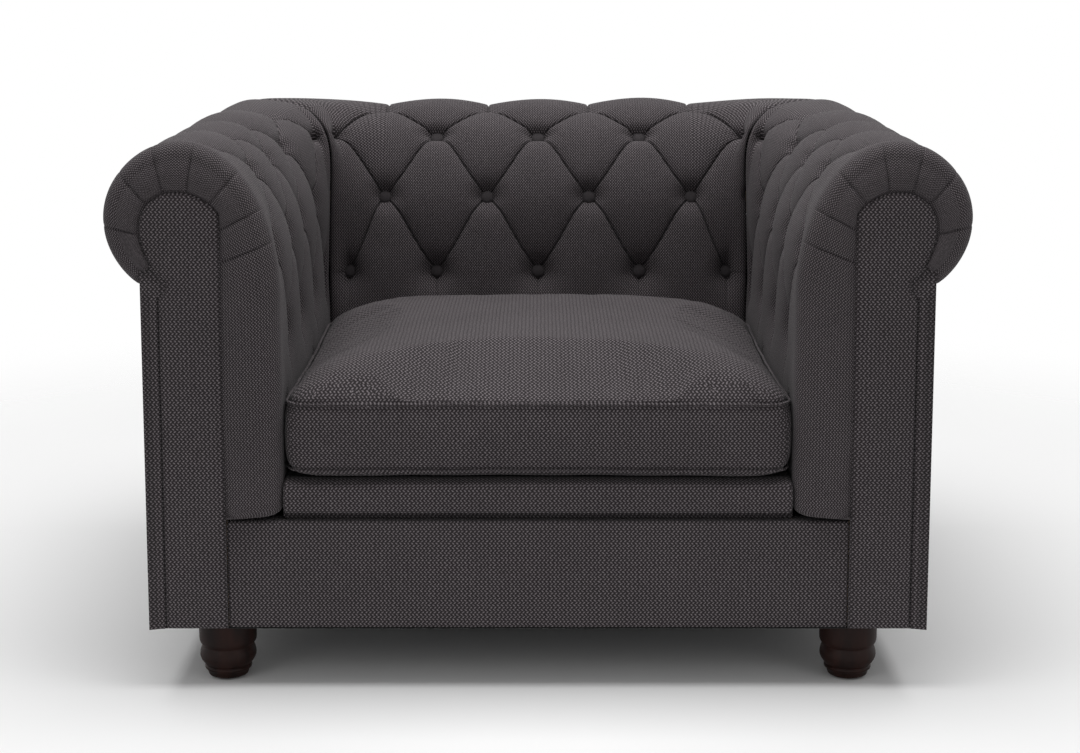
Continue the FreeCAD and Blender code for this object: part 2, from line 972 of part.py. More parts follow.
# How the buttoned pattern's depths share out over the rows and columns
PLEAT_ROW_SHARE = 1.4
BETWEEN_CREST_SHARE = 0.4
ROLL_SHARE = 0.6
PUFF_SINK = 1.0
BACK_HALF_PITCHES = 3
COLUMN_KINDS = ("between", "odd", "between", "even")
EDGE_STEPS = (0.0, 0.1, 0.3, 0.6, 1.0)
FRONT_SHARE = 0.6
LAST_COLUMN_ROOM = 0.6
SIDE_COLUMN_ROOM = 0.45
CORNER_SHARES = (0.25, 0.5)
PAST_CORNER_SHARES = (0.1, 0.2)


def roll_place(angle, sink=0.0):
    """Out-distance and height on the roll, at an angle up from its outermost point."""
    radius = float(roll_radius) - sink
    return (
        shoulder_reach + radius * math.cos(angle),
        float(roll_centre_height) + radius * math.sin(angle),
    )


def pad_outline(kind, low_share, high_share, edge_sink):
    """Section of a pad as a list of (end point, point on the way or None).

    An odd column has its buttons in the low and the high row, an even column has
    them in the middle row, and a between column crosses the pleats that join them.
    The edge sink draws the whole face in, which rounds the pad's front edge.
    """
    seat_shift = half_button_seat
    if kind == "odd":
        turns = [low_turn, shifted(high_turn, -seat_shift), shifted(high_turn, seat_shift)]
        depths = [button_dimple * low_share] + [button_dimple * high_share] * 2
        crest_sink = 0.0
    elif kind == "even":
        turns = [
            shifted(middle_turn, -seat_shift),
            shifted(middle_turn, seat_shift),
            pleat_turn,
        ]
        depths = [button_dimple * low_share] * 2 + [crest_dimple * PLEAT_ROW_SHARE * high_share]
        crest_sink = crest_dimple * high_share
    else:
        turns = [
            (low_turn + middle_turn) / 2,
            (middle_turn + high_turn) / 2,
            (high_turn + pleat_turn) / 2,
        ]
        depths = [pleat_dimple * low_share] * 2 + [pleat_dimple * high_share]
        crest_sink = crest_dimple * high_share * BETWEEN_CREST_SHARE
    turns = [plain_turn] + turns + [crest_turn]
    depths = [0.0] + depths + [crest_sink]
    outline = [(face_place(plain_turn, edge_sink), None)]
    for place in range(1, len(turns)):
        way_turn = (turns[place - 1] + turns[place]) / 2
        narrow = abs(depths[place - 1] - depths[place]) < 1e-6 and depths[place] > 0
        is_seat = narrow and kind != "between" and place != len(turns) - 1
        way_depth = depths[place] if is_seat else PUFF_SINK * low_share
        outline.append(
            (
                face_place(turns[place], depths[place] + edge_sink),
                face_place(way_turn, way_depth + edge_sink),
            )
        )
    tail_angle = math.asin(
        (float(roll_underside(frame_out + soft_gap)) - float(roll_centre_height))
        / float(roll_radius)
    )
    over_sink = crest_sink * ROLL_SHARE + edge_sink
    outline.append((roll_place(0.0, edge_sink), roll_place(math.pi / 4, over_sink)))
    outline.append((roll_place(tail_angle), roll_place(tail_angle / 2, edge_sink / 2)))
    inner_top = float(frame_top + soft_gap)
    pad_out = float(pad_thickness)
    pad_low = float(pad_bottom)
    outline.append(((float(frame_out + soft_gap), inner_top), None))
    outline.append(((pad_out, inner_top), None))
    outline.append(((pad_out, pad_low), None))
    outline.append(((edge_sink, pad_low), None))
    return outline


def bend_or_line(start, way, end):
    """An arc through three points, or a straight edge where they lie in line."""
    if way is not None:
        sideways = (way - start).cross(end - start).Length / (end - start).Length
        if sideways > 0.02:
            return Part.Arc(start, way, end).toShape()
    return Part.LineSegment(start, end).toShape()


def pad_loft(columns, placed):
    """A buttoned pad through its columns; placed turns (out, along, height) into a point."""
    sections = []
    for along_place, kind, low_share, high_share, edge_sink in columns:
        outline = pad_outline(kind, low_share, high_share, edge_sink)
        points = [placed(spot[0], along_place, spot[1]) for spot, _ in outline]
        edges = []
        for place, (_, way) in enumerate(outline):
            through = None if way is None else placed(way[0], along_place, way[1])
            edges.append(bend_or_line(points[place - 1], through, points[place]))
        sections.append(Part.Wire(edges))
    return Part.makeLoft(sections, True, True)


def button_spots(columns):
    """Where the buttons sit: (along, turn) for each full dimple of each column."""
    spots = []
    for along_place, kind, low_share, high_share, _ in columns:
        if kind == "odd" and low_share == 1.0:
            spots.append((along_place, low_turn))
        if kind == "odd" and high_share == 1.0:
            spots.append((along_place, high_turn))
        if kind == "even" and low_share == 1.0:
            spots.append((along_place, middle_turn))
    return spots


def button_seat_cylinders(spots, placed, radius, sink, length):
    """Upright cylinders on the dimples' floors, pointing out of the pad."""
    rods = []
    for along_place, turn in spots:
        floor = placed(*face_spot(turn, button_dimple + sink, along_place))
        outside = placed(*face_spot(turn, 0.0, along_place))
        rods.append(Part.makeCylinder(radius, length, floor, outside - floor))
    return rods


def face_spot(turn, dimple, along_place):
    out, height = face_place(turn, dimple)
    return out, along_place, height


def button_shapes(spots, placed):
    """Covered buttons: a short round side under a domed top."""
    radius = float(size("button_radius"))
    height = float(size("button_height"))
    dome = height - float(size("button_side_height"))
    dome_radius = (radius**2 + dome**2) / (2 * dome)
    ball = Part.makeSphere(dome_radius, Vector(0, 0, height - dome_radius))
    button = Part.makeCylinder(radius, height).common(ball)
    shapes = []
    for along_place, turn in spots:
        floor = placed(*face_spot(turn, button_dimple, along_place))
        outside = placed(*face_spot(turn, 0.0, along_place))
        stood = button.copy()
        turned = FreeCAD.Rotation(Vector(0, 0, 1), outside - floor)
        stood.Placement = FreeCAD.Placement(floor, turned)
        shapes.append(stood)
    return Part.Compound(shapes)


def plan_prism(corners):
    """An upright prism over a plan outline, taller than the chair."""
    points = [Vector(x, y, 0) for x, y in corners]
    outline = Part.makePolygon(points + points[:1])
    return Part.Face(outline).extrude(Vector(0, 0, float(crest_height) * 2))


def arm_columns():
    """Columns of an arm from the front plane to the far end of the rear corner."""
    first = float(size("arm_first_column"))
    half_pitch = float(size("arm_column_pitch")) / 2
    edge_round = float(size("front_edge_round"))
    columns = []
    for share in EDGE_STEPS:
        sink = edge_round * (1 - math.sqrt(1 - (1 - share) ** 2))
        columns.append((edge_round * share, "odd", 0.0, 0.0, sink))
    columns.append((first - half_pitch * 1.5, "between", FRONT_SHARE, FRONT_SHARE, 0.0))
    columns.append((first - half_pitch, "even", 1.0, 1.0, 0.0))
    step = 0
    place = first - half_pitch / 2
    corner = float(seat_deep)
    while place < corner - half_pitch * LAST_COLUMN_ROOM:
        columns.append((place, COLUMN_KINDS[step % 4], 1.0, 1.0, 0.0))
        place += half_pitch / 2
        step += 1
    columns.append((corner, "odd", *CORNER_SHARES, 0.0))
    columns.append((corner + half_pitch / 2, "between", *PAST_CORNER_SHARES, 0.0))
    columns.append((corner + half_pitch, "even", 0.0, 0.0, 0.0))
    columns.append((float(chair_deep + size("loft_overrun")), "odd", 0.0, 0.0, 0.0))
    return columns


def back_columns():
    """Columns of the back from one far corner to the other."""
    side_column = float(half_seat - size("back_side_margin"))
    half_pitch = (side_column - float(size("back_last_step"))) / BACK_HALF_PITCHES
    half = []
    step = 0
    while step * half_pitch / 2 < side_column - half_pitch * SIDE_COLUMN_ROOM:
        half.append((step * half_pitch / 2, COLUMN_KINDS[(step + 1) % 4], 1.0, 1.0, 0.0))
        step += 1
    far_side = float(half_seat + roll_centre_out + roll_radius + size("loft_overrun"))
    half.append((side_column, "odd", 1.0, CORNER_SHARES[1], 0.0))
    half.append((float(half_seat), "between", *PAST_CORNER_SHARES, 0.0))
    half.append((float(half_seat) + half_pitch, "even", 0.0, 0.0, 0.0))
    half.append((far_side, "odd", 0.0, 0.0, 0.0))
    mirrored = [(-column[0],) + column[1:] for column in reversed(half[1:])]
    return mirrored + half


def neck_filling(placed):
    """Stuffing of the roll's front that closes in on the neck of the facing."""
    outs = (
        float(size("facing_neck_out") - size("neck_tuck")),
        float(frame_out + soft_gap + cut_margin),
    )
    top = float(frame_top + soft_gap + cut_margin)
    lows = [float(roll_underside(as_size(out))) for out in outs]
    way = sum(outs) / 2
    low_way = placed(way, 0.0, float(roll_underside(as_size(way))))
    corners = [
        placed(outs[0], 0.0, top),
        placed(outs[1], 0.0, top),
        placed(outs[1], 0.0, lows[1]),
        placed(outs[0], 0.0, lows[0]),
    ]
    edges = [Part.LineSegment(corners[place - 1], corners[place]).toShape() for place in (0, 1, 2)]
    edges.append(Part.Arc(corners[2], low_way, corners[3]).toShape())
    face = Part.Face(Part.Wire(Part.__sortEdges__(edges)))
    return face.extrude(Vector(0, float(board_back), 0))


inner = float(half_seat)
corner_y = float(front + seat_deep)
mitre_gap = float(soft_gap) * 0.75
near = float(size("mitre_overrun"))
far = float(chair_deep)
pocket_radius = float(size("button_radius") + soft_gap)
pocket_length = button_dimple + near
for side_name, side in SIDES.items():

    def on_arm(out, deep, height, side=side):
        return Vector((inner + out) * side, float(front) + deep, height)

    columns = arm_columns()
    spots = button_spots(columns)
    pad = pad_loft(columns, on_arm)
    mitre = plan_prism(
        [
            ((inner - near) * side, corner_y - near - mitre_gap),
            ((inner + far) * side, corner_y + far - mitre_gap),
            ((inner - near) * side, corner_y + far),
        ]
    )
    scroll = outline_face(facing_path(side, float(soft_gap)), float(front - cut_margin))
    scroll_pocket = scroll.extrude(Vector(0, float(board_back + soft_gap + cut_margin), 0))
    pockets = button_seat_cylinders(
        spots, on_arm, pocket_radius, float(soft_gap), pocket_length
    )
    pad = pad.fuse(neck_filling(on_arm)).removeSplitter()
    pad = pad.cut([mitre, scroll_pocket] + pockets)
    keep(shaped(f"arm_pad_{side_name}", pad), f"arm_pad_{side_name}")
    keep(
        shaped(f"arm_buttons_{side_name}", button_shapes(spots, on_arm)),
        f"arm_buttons_{side_name}",
    )


def on_back(out, across_place, height):
    return Vector(across_place, corner_y + out, height)


columns = back_columns()
spots = button_spots(columns)
back = pad_loft(columns, on_back)
mitres = [
    plan_prism(
        [
            ((inner - near) * side, corner_y - near + mitre_gap),
            ((inner + far) * side, corner_y + far + mitre_gap),
            ((inner + far) * side, corner_y - near + mitre_gap),
        ]
    )
    for side in SIDES.values()
]
pockets = button_seat_cylinders(spots, on_back, pocket_radius, float(soft_gap), pocket_length)
keep(shaped("back_pad", back.cut(mitres + pockets)), "back_pad")
keep(shaped("back_buttons", button_shapes(spots, on_back)), "back_buttons")

# Seat cushion


def drawn_plan(half_width, near_y, far_y, corner, draws, height):
    """A plan outline with round corners whose four sides pull in between them.

    The draws say how far the sides pull in: right, rear, left and front.
    """
    half_deep = (far_y - near_y) / 2
    centre_y = (far_y + near_y) / 2
    spans = (half_deep - corner, half_width - corner) * 2
    # A side's hollow arc meets its corner arcs smoothly, so they run past a quarter turn
    overrun = [
        math.asin(span / ((span**2 + draw**2) / (2 * draw))) for span, draw in zip(spans, draws)
    ]
    quarter = math.pi / 2
    corners = []
    for turn, (sign_x, sign_y) in enumerate(((1, 1), (-1, 1), (-1, -1), (1, -1))):
        centre = Vector(
            sign_x * (half_width - corner), centre_y + sign_y * (half_deep - corner), height
        )
        angles = (
            turn * quarter - overrun[turn],
            (turn + 0.5) * quarter,
            (turn + 1) * quarter + overrun[(turn + 1) % 4],
        )
        corners.append(
            [centre + Vector(math.cos(angle), math.sin(angle), 0) * corner for angle in angles]
        )
    right, rear, left, near = draws
    hollows = (
        Vector(0, centre_y + half_deep - rear, height),
        Vector(-half_width + left, centre_y, height),
        Vector(0, centre_y - half_deep + near, height),
        Vector(half_width - right, centre_y, height),
    )
    arcs = []
    for turn in range(4):
        start, way, end = corners[turn]
        arcs.append(Part.Arc(start, way, end).toShape())
        arcs.append(Part.Arc(end, hollows[turn], corners[(turn + 1) % 4][0]).toShape())
    return Part.Wire(arcs)


welt_radius = float(size("cushion_welt_radius"))
cushion_half = float(half_seat - size("cushion_side_gap") - soft_gap) - welt_radius * 2
cushion_near = float(front + size("cushion_front")) + welt_radius * 2 + float(soft_gap)
cushion_rear = front + seat_deep - size("cushion_rear_gap")
cushion_far = float(cushion_rear - soft_gap) - welt_radius * 2
cushion_low = float(deck_top + soft_gap)
low_welt_height = deck_top + size("cushion_low_welt_rise")
high_welt_height = low_welt_height + size("cushion_border_height")
low_welt = float(low_welt_height)
high_welt = float(high_welt_height)
corner_radius = float(size("cushion_corner_radius"))
draw_in = float(size("cushion_draw_in"))
zip_side_draw_in = float(size("cushion_zip_side_draw_in"))
draws = (draw_in, zip_side_draw_in, draw_in, draw_in)

# The crown's sections: how far along its reach each lies
CROWN_STEPS = (0.01, 0.05, 0.13, 0.27, 0.5, 1.0)
LARGEST_CORNER_SHARE = 0.6


def cushion_form(inset):
    """The crowned cushion, shrunk all round by an inset."""
    crown = float(size("cushion_crown"))
    reach = float(size("cushion_crown_reach"))
    tuck = float(size("cushion_bottom_tuck"))
    swell = float(size("cushion_side_swell"))
    levels = [
        (cushion_low + inset, tuck),
        (low_welt, 0.0),
        ((low_welt + high_welt) / 2, -swell),
        (high_welt - inset / 2, 0.0),
    ]
    for share in CROWN_STEPS:
        rise = crown * math.sqrt(1 - (1 - share) ** 2)
        levels.append((high_welt + rise - inset, share * reach))
    sections = []
    for height, pull in levels:
        shrink = inset + pull
        half_width = cushion_half - shrink
        half_deep = (cushion_far - cushion_near) / 2 - shrink
        centre = (cushion_far + cushion_near) / 2
        growth = max(pull, 0.0) * float(size("cushion_corner_growth"))
        widest = min(half_width, half_deep) * LARGEST_CORNER_SHARE
        corner = min(corner_radius + growth, widest)
        hollows = [draw * half_width / cushion_half for draw in draws]
        sections.append(
            drawn_plan(half_width, centre - half_deep, centre + half_deep, corner, hollows, height)
        )
    return Part.makeLoft(sections, True, True)


def welt_ring(height):
    """A round cord sewn along the cushion's edge."""
    shift = welt_radius + float(soft_gap)
    path = drawn_plan(
        cushion_half + shift,
        cushion_near - shift,
        cushion_far + shift,
        corner_radius + shift,
        draws,
        height,
    )
    edge = path.Edges[0]
    start = edge.valueAt(edge.FirstParameter)
    heading = edge.tangentAt(edge.FirstParameter)
    section = Part.Wire(Part.Circle(start, heading, welt_radius).toShape())
    return path.makePipeShell([section], True, False)


cover_wall = float(size("cushion_cover_thickness"))
cover = cushion_form(0.0).cut(cushion_form(cover_wall))
zip_half = size("zip_length") / 2
tape_half = size("zip_tape_height") / 2
tape_thickness = size("zip_tape_thickness")
zip_height = (low_welt_height + high_welt_height) / 2
rear_face = (
    cushion_rear
    - size("cushion_welt_radius") * 2
    - soft_gap
    - size("cushion_zip_side_draw_in")
    + size("cushion_side_swell")
)
tape_rear = rear_face - soft_gap
tape = block(
    "zip_tape",
    (-zip_half, zip_half),
    (tape_rear - tape_thickness, tape_rear),
    (zip_height - tape_half, zip_height + tape_half),
)
slot_size = [float(zip_half + soft_gap) * 2, cover_wall * 3, float(tape_half + soft_gap) * 2]
slot_corner = Vector(
    -slot_size[0] / 2, float(rear_face) - cover_wall, float(zip_height) - slot_size[2] / 2
)
cover = cover.cut(Part.makeBox(*slot_size, slot_corner))
keep(tape, "zip_tape")
slider_half = size("slider_length") / 2
slider_x = zip_half - slider_half - soft_gap * 2
slider_front = tape_rear + soft_gap
slider_rear = slider_front + size("slider_thickness")
slider_low = zip_height - size("slider_height") / 2
slider_body = block(
    "slider_body",
    (slider_x - slider_half, slider_x + slider_half),
    (slider_front, slider_rear),
    (slider_low, zip_height + size("slider_height") / 2),
)
pull_half = size("pull_width") / 2
pull_tab = block(
    "pull_tab",
    (slider_x - pull_half, slider_x + pull_half),
    (slider_rear - size("pull_thickness"), slider_rear),
    (slider_low - size("pull_length"), slider_low),
)
slider = doc.addObject("Part::Fuse", "zip_slider")
slider.Base = slider_body
slider.Tool = pull_tab
keep(slider, "zip_slider")
keep(shaped("cushion_cover", cover), "cushion_cover")
keep(shaped("cushion_foam_core", cushion_form(cover_wall + float(soft_gap))), "cushion_foam_core")
keep(shaped("cushion_welt_top", welt_ring(high_welt)), "cushion_welt_top")
keep(shaped("cushion_welt_bottom", welt_ring(low_welt)), "cushion_welt_bottom")

# Every object is sound before anything is written
doc.recompute()
for item in doc.Objects:
    if {"Invalid", "Error"} & set(item.State):
        raise RuntimeError(f"{item.Label} failed: {item.State}")
labels = [item.Label for item in pieces]
if len(set(labels)) != len(labels):
    raise RuntimeError("two pieces share a name")
for item in pieces:
    if item.Shape.isNull() or not item.Shape.isValid() or not item.Shape.Solids:
        raise RuntimeError(f"{item.Label} has no sound solid")
    print(item.Label, len(item.Shape.Solids), round(item.Shape.Volume / 1000, 1), "cm3")
for item in pieces:
    item.Shape.exportStep(f"parts/{item.Label}.step")
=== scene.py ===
import cmath
import json
import math
from functools import partial
from itertools import product

import bmesh
import bpy
import numpy as np
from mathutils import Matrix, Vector
from mathutils.bvhtree import BVHTree
from mathutils.geometry import delaunay_2d_cdt


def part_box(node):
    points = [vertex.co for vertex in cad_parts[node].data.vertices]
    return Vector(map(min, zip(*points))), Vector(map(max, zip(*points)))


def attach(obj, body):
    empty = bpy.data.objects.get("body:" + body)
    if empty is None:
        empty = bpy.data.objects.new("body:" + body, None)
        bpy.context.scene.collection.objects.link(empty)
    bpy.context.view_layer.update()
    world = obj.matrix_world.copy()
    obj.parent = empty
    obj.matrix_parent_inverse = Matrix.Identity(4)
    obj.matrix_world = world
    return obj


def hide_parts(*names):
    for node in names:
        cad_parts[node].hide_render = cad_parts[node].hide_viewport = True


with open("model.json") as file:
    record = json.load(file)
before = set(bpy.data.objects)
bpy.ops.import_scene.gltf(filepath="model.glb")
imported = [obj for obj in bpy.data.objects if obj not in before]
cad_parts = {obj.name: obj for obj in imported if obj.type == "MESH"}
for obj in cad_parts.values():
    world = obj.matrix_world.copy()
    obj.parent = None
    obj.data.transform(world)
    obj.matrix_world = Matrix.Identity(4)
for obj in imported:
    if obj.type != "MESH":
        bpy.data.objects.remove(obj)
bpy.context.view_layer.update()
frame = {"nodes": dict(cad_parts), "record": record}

# Sizes read from the frame, in metres. "Out" runs from the inner face of an arm or of the
# back towards the outside; "deep" runs from the front plane of the chair to its rear.
deck_low, deck_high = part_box("seat_deck_pad")
pad_low, pad_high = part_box("arm_pad_right")
cover_low, cover_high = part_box("outside_arm_right")
facing_low, facing_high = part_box("arm_facing_right")
SOFT_GAP = 0.0003
INNER = deck_high.x + SOFT_GAP
BACK_FACE = deck_high.y + SOFT_GAP
FRONT = facing_low.y
SEAT_DEEP = BACK_FACE - FRONT
ROLL_REACH = pad_high.x - INNER
ROLL_RADIUS = 0.108
ROLL_CENTRE_OUT = ROLL_REACH - ROLL_RADIUS
CREST = 0.766
ROLL_CENTRE_Z = CREST - ROLL_RADIUS
SHOULDER_DROP = 0.214
SHOULDER_START = CREST - SHOULDER_DROP
PAD_BOTTOM = pad_low.z
PAD_THICK = facing_low.x - INNER
COVER_OUT = cover_high.x - INNER
COVER_TOP = cover_high.z
BASE = cover_low.z

# The photograph's viewpoint: level with the crest line and above it, straight from the front
CAMERA_AWAY = 2.70
CAMERA_HEIGHT = 1.02
PHOTO_WIDTH = 1080
PHOTO_HORIZON_ABOVE_MIDDLE = 421.5
PHOTO_FOCAL = 1979.0
CAMERA_SHIFT = 0.125
SENSOR_WIDTH = 36.0
MATCH_HEIGHT = 0.40
SIDES = (("left", -1), ("right", 1))
QUARTER = math.pi / 2
ROUND = 2 * math.pi


def new_object(name, data):
    obj = bpy.data.objects.new(name, data)
    bpy.context.scene.collection.objects.link(obj)
    return obj


def mesh_object(name, vertices, faces, smooth=True):
    mesh = bpy.data.meshes.new(name)
    mesh.from_pydata([tuple(v) for v in vertices], [], [tuple(f) for f in faces])
    mesh.validate()
    mesh.update()
    if smooth:
        mesh.polygons.foreach_set("use_smooth", [True] * len(mesh.polygons))
    return new_object(name, mesh)


def face_outwards(obj):
    """Makes the faces of a closed or nearly closed mesh point outwards."""
    mesh = bmesh.new()
    mesh.from_mesh(obj.data)
    bmesh.ops.recalc_face_normals(mesh, faces=mesh.faces)
    mesh.to_mesh(obj.data)
    mesh.free()


def modified(obj, kind, **settings):
    """Applies one modifier for good."""
    modifier = obj.modifiers.new(kind.lower(), kind)
    for key, value in settings.items():
        setattr(modifier, key, value)
    graph = bpy.context.evaluated_depsgraph_get()
    graph.update()
    mesh = bpy.data.meshes.new_from_object(obj.evaluated_get(graph))
    obj.modifiers.clear()
    old = obj.data
    obj.data = mesh
    bpy.data.meshes.remove(old)


def read_array(items, attribute, width, dtype=float):
    """An attribute of the parts of a mesh, with a row for each part."""
    values = np.empty(len(items) * width, dtype=dtype)
    items.foreach_get(attribute, values)
    return values.reshape(-1, width)


def vertex_points(obj):
    return read_array(obj.data.vertices, "co", 3)


def vertex_normals(obj):
    return read_array(obj.data.vertices, "normal", 3)


def set_points(obj, points):
    obj.data.vertices.foreach_set("co", np.ascontiguousarray(points, dtype=np.float32).ravel())
    obj.data.update()


def grid_faces(rows, columns, close=False):
    """Faces between rows of points; close joins the end of each row to its start."""
    faces = []
    for low in range(0, (rows - 1) * columns, columns):
        high = low + columns
        for column in range(columns if close else columns - 1):
            after = (column + 1) % columns
            faces.append((low + column, low + after, high + after, high + column))
    return faces


def lofted(name, rows, closed=True):
    """A surface through rows of points; a closed one has round rows and flat ends."""
    vertices = np.vstack(rows)
    count = len(rows[0])
    faces = grid_faces(len(rows), count, closed)
    if closed:
        last = len(vertices) - count
        faces += [tuple(range(count)), tuple(range(last, last + count))]
    obj = mesh_object(name, vertices, faces)
    face_outwards(obj)
    return obj


def run_lengths(line):
    return np.concatenate(([0.0], np.cumsum(np.linalg.norm(np.diff(line, axis=0), axis=1))))


def bell(distance, width):
    return np.exp(-((distance / width) ** 2))


# Materials


def new_material(name):
    material = bpy.data.materials.new(name)
    material.use_nodes = True
    tree = material.node_tree
    return material, tree, tree.nodes["Principled BSDF"]


def wire(tree, node, inputs):
    """Fills the inputs of a node with numbers and colours, or links them to sockets."""
    for place, value in inputs.items():
        if isinstance(value, bpy.types.NodeSocket):
            tree.links.new(value, node.inputs[place])
        else:
            node.inputs[place].default_value = value


def add_node(tree, kind, inputs=None, **settings):
    node = tree.nodes.new(kind)
    for key, value in settings.items():
        setattr(node, key, value)
    wire(tree, node, inputs or {})
    return node


def math_node(tree, operation, *values, clamp=False):
    """One arithmetic step; its values are sockets or numbers."""
    inputs = dict(enumerate(values))
    node = add_node(tree, "ShaderNodeMath", inputs, operation=operation, use_clamp=clamp)
    return node.outputs[0]


def mix_colour(tree, share, first, second):
    ends = [(*end, 1.0) if isinstance(end, tuple) else end for end in (first, second)]
    inputs = {0: share, 6: ends[0], 7: ends[1]}
    return add_node(tree, "ShaderNodeMix", inputs, data_type="RGBA").outputs[2]


def object_place(tree):
    return add_node(tree, "ShaderNodeTexCoord").outputs["Object"]


def noise_at(tree, place, scale, **more):
    inputs = {"Vector": place, "Scale": scale, **more}
    return add_node(tree, "ShaderNodeTexNoise", inputs).outputs[0]


def add_bump(tree, shader, height, strength, distance):
    inputs = {"Strength": strength, "Distance": distance, "Height": height}
    wire(tree, shader, {"Normal": add_node(tree, "ShaderNodeBump", inputs).outputs[0]})


WEAVE_CELL = 0.0056
WEAVE_ROW = 0.0034
DARK_YARN = (0.016, 0.0135, 0.0145)
MID_YARN = (0.062, 0.053, 0.057)
LIGHT_YARN = (0.215, 0.192, 0.202)


def weave_material(name, dark=DARK_YARN, mid=MID_YARN, light=LIGHT_YARN, cell=WEAVE_CELL):
    """Coarse zigzag weave: rows of short slanted stitches that lean to and fro in turn."""
    material, tree, shader = new_material(name)
    step = partial(math_node, tree)
    place = object_place(tree)
    cloth = add_node(tree, "ShaderNodeUVMap", uv_map="weave").outputs[0]
    cloth = add_node(tree, "ShaderNodeSeparateXYZ", {0: cloth}).outputs
    across = step("DIVIDE", cloth["X"], cell)
    up = step("DIVIDE", cloth["Y"], cell * WEAVE_ROW / WEAVE_CELL)
    wobble = noise_at(tree, place, 90.0, Detail=1.0)
    across = step("ADD", across, step("MULTIPLY_ADD", wobble, 0.5, -0.25))
    in_row = step("FRACT", up)
    lean = step("COMPARE", step("PINGPONG", step("FLOOR", up), 1.0), 1.0, 0.5)
    slant = step("MULTIPLY", step("MULTIPLY_ADD", lean, 0.8, -0.4), in_row)
    wave = step("SINE", step("MULTIPLY", step("ADD", across, slant), ROUND))
    arch = step("SINE", step("MULTIPLY", in_row, math.pi))
    height = step("MULTIPLY", step("MULTIPLY_ADD", wave, 0.5, 0.5), step("POWER", arch, 0.4))
    # Yarn to yarn and patch to patch variation
    fleck = noise_at(tree, place, 620.0)
    patch = noise_at(tree, place, 9.0, Detail=3.0)
    share = step("ADD", height, step("MULTIPLY_ADD", fleck, 0.6, -0.34), clamp=True)
    colour = mix_colour(tree, step("MULTIPLY", share, 1.6), dark, mid)
    upper = step("MULTIPLY_ADD", share, 2.4, -1.35, clamp=True)
    colour = mix_colour(tree, upper, colour, light)
    tone = {0: colour, "Scale": step("MULTIPLY_ADD", patch, 0.28, 0.86)}
    colour = add_node(tree, "ShaderNodeVectorMath", operation="SCALE")
    wire(tree, colour, tone)
    wire(tree, shader, {"Base Color": colour.outputs[0], "Roughness": 0.92})
    wire(tree, shader, {"Specular IOR Level": 0.18, "Sheen Weight": 0.06, "Sheen Roughness": 0.45})
    add_bump(tree, shader, height, 0.55, 0.0009)
    return material


def wood_material(name, dark, light, roughness, coat, ring_scale):
    """Long-grained wood: stretched noise for the grain, with fine pores."""
    material, tree, shader = new_material(name)
    place = {"Vector": object_place(tree), "Scale": ring_scale}
    stretched = add_node(tree, "ShaderNodeMapping", place).outputs[0]
    grain = noise_at(tree, stretched, 6.0, Detail=8.0, Distortion=0.6)
    ramp = add_node(tree, "ShaderNodeValToRGB", {0: grain})
    for number, position, colour in ((0, 0.36, dark), (1, 0.68, light)):
        ramp.color_ramp.elements[number].position = position
        ramp.color_ramp.elements[number].color = (*colour, 1)
    rough = math_node(tree, "MULTIPLY_ADD", grain, 0.12, roughness - 0.06)
    wire(tree, shader, {"Base Color": ramp.outputs[0], "Roughness": rough})
    wire(tree, shader, {"Coat Weight": coat, "Coat Roughness": 0.22, "Specular IOR Level": 0.14})
    add_bump(tree, shader, grain, 0.15, 0.0006)
    return material


def speckled_material(name, colour, roughness, metallic=0.0, scale=180.0, spread=0.25):
    """A plain finish with fine variation in tone and height."""
    material, tree, shader = new_material(name)
    speckle = noise_at(tree, object_place(tree), scale, Detail=4.0)
    low = tuple(channel * (1 - spread) for channel in colour)
    high = tuple(min(1.0, channel * (1 + spread)) for channel in colour)
    tone = mix_colour(tree, speckle, low, high)
    wire(tree, shader, {"Base Color": tone, "Roughness": roughness, "Metallic": metallic})
    add_bump(tree, shader, speckle, 0.2, 0.0004)
    return material


fabric = weave_material("charcoal_weave")
pad_fabric = weave_material("charcoal_weave_on_pads", cell=0.0043)
button_fabric = weave_material(
    "charcoal_on_buttons", (0.03, 0.026, 0.028), (0.05, 0.044, 0.047), (0.085, 0.077, 0.08), 0.0024
)
deck_cloth = weave_material(
    "deck_lining", (0.014, 0.013, 0.013), (0.032, 0.03, 0.03), (0.05, 0.048, 0.047), 0.0012
)
foot_wood = wood_material(
    "dark_turned_wood", (0.006, 0.0016, 0.001), (0.019, 0.0058, 0.0038), 0.52, 0.04, (9, 9, 1.6)
)
node_finishes = {
    "frame_wood": wood_material(
        "frame_timber", (0.42, 0.28, 0.16), (0.66, 0.5, 0.33), 0.62, 0.0, (1.5, 1.5, 9)
    ),
    "foot_wood": foot_wood,
    "webbing": speckled_material("jute_webbing", (0.45, 0.36, 0.24), 0.9, scale=420.0),
    "spring_steel": speckled_material("spring_wire", (0.5, 0.5, 0.51), 0.35, 1.0, 260.0, 0.08),
    "deck_cloth": deck_cloth,
    "dust_cloth": speckled_material("dust_cloth", (0.018, 0.018, 0.018), 0.95, scale=700.0),
    "foam": speckled_material("cut_foam", (0.82, 0.77, 0.6), 0.95, scale=300.0),
    "glide_plastic": speckled_material("glide_plastic", (0.05, 0.05, 0.05), 0.5),
    "zip_tape": speckled_material("zip_tape", (0.03, 0.029, 0.029), 0.85, scale=900.0),
    "zip_metal": speckled_material("zip_metal", (0.07, 0.068, 0.066), 0.4, 1.0, 300.0, 0.1),
    "upholstery_fabric": fabric,
}


def set_material(obj, material):
    obj.data.materials.clear()
    obj.data.materials.append(material)


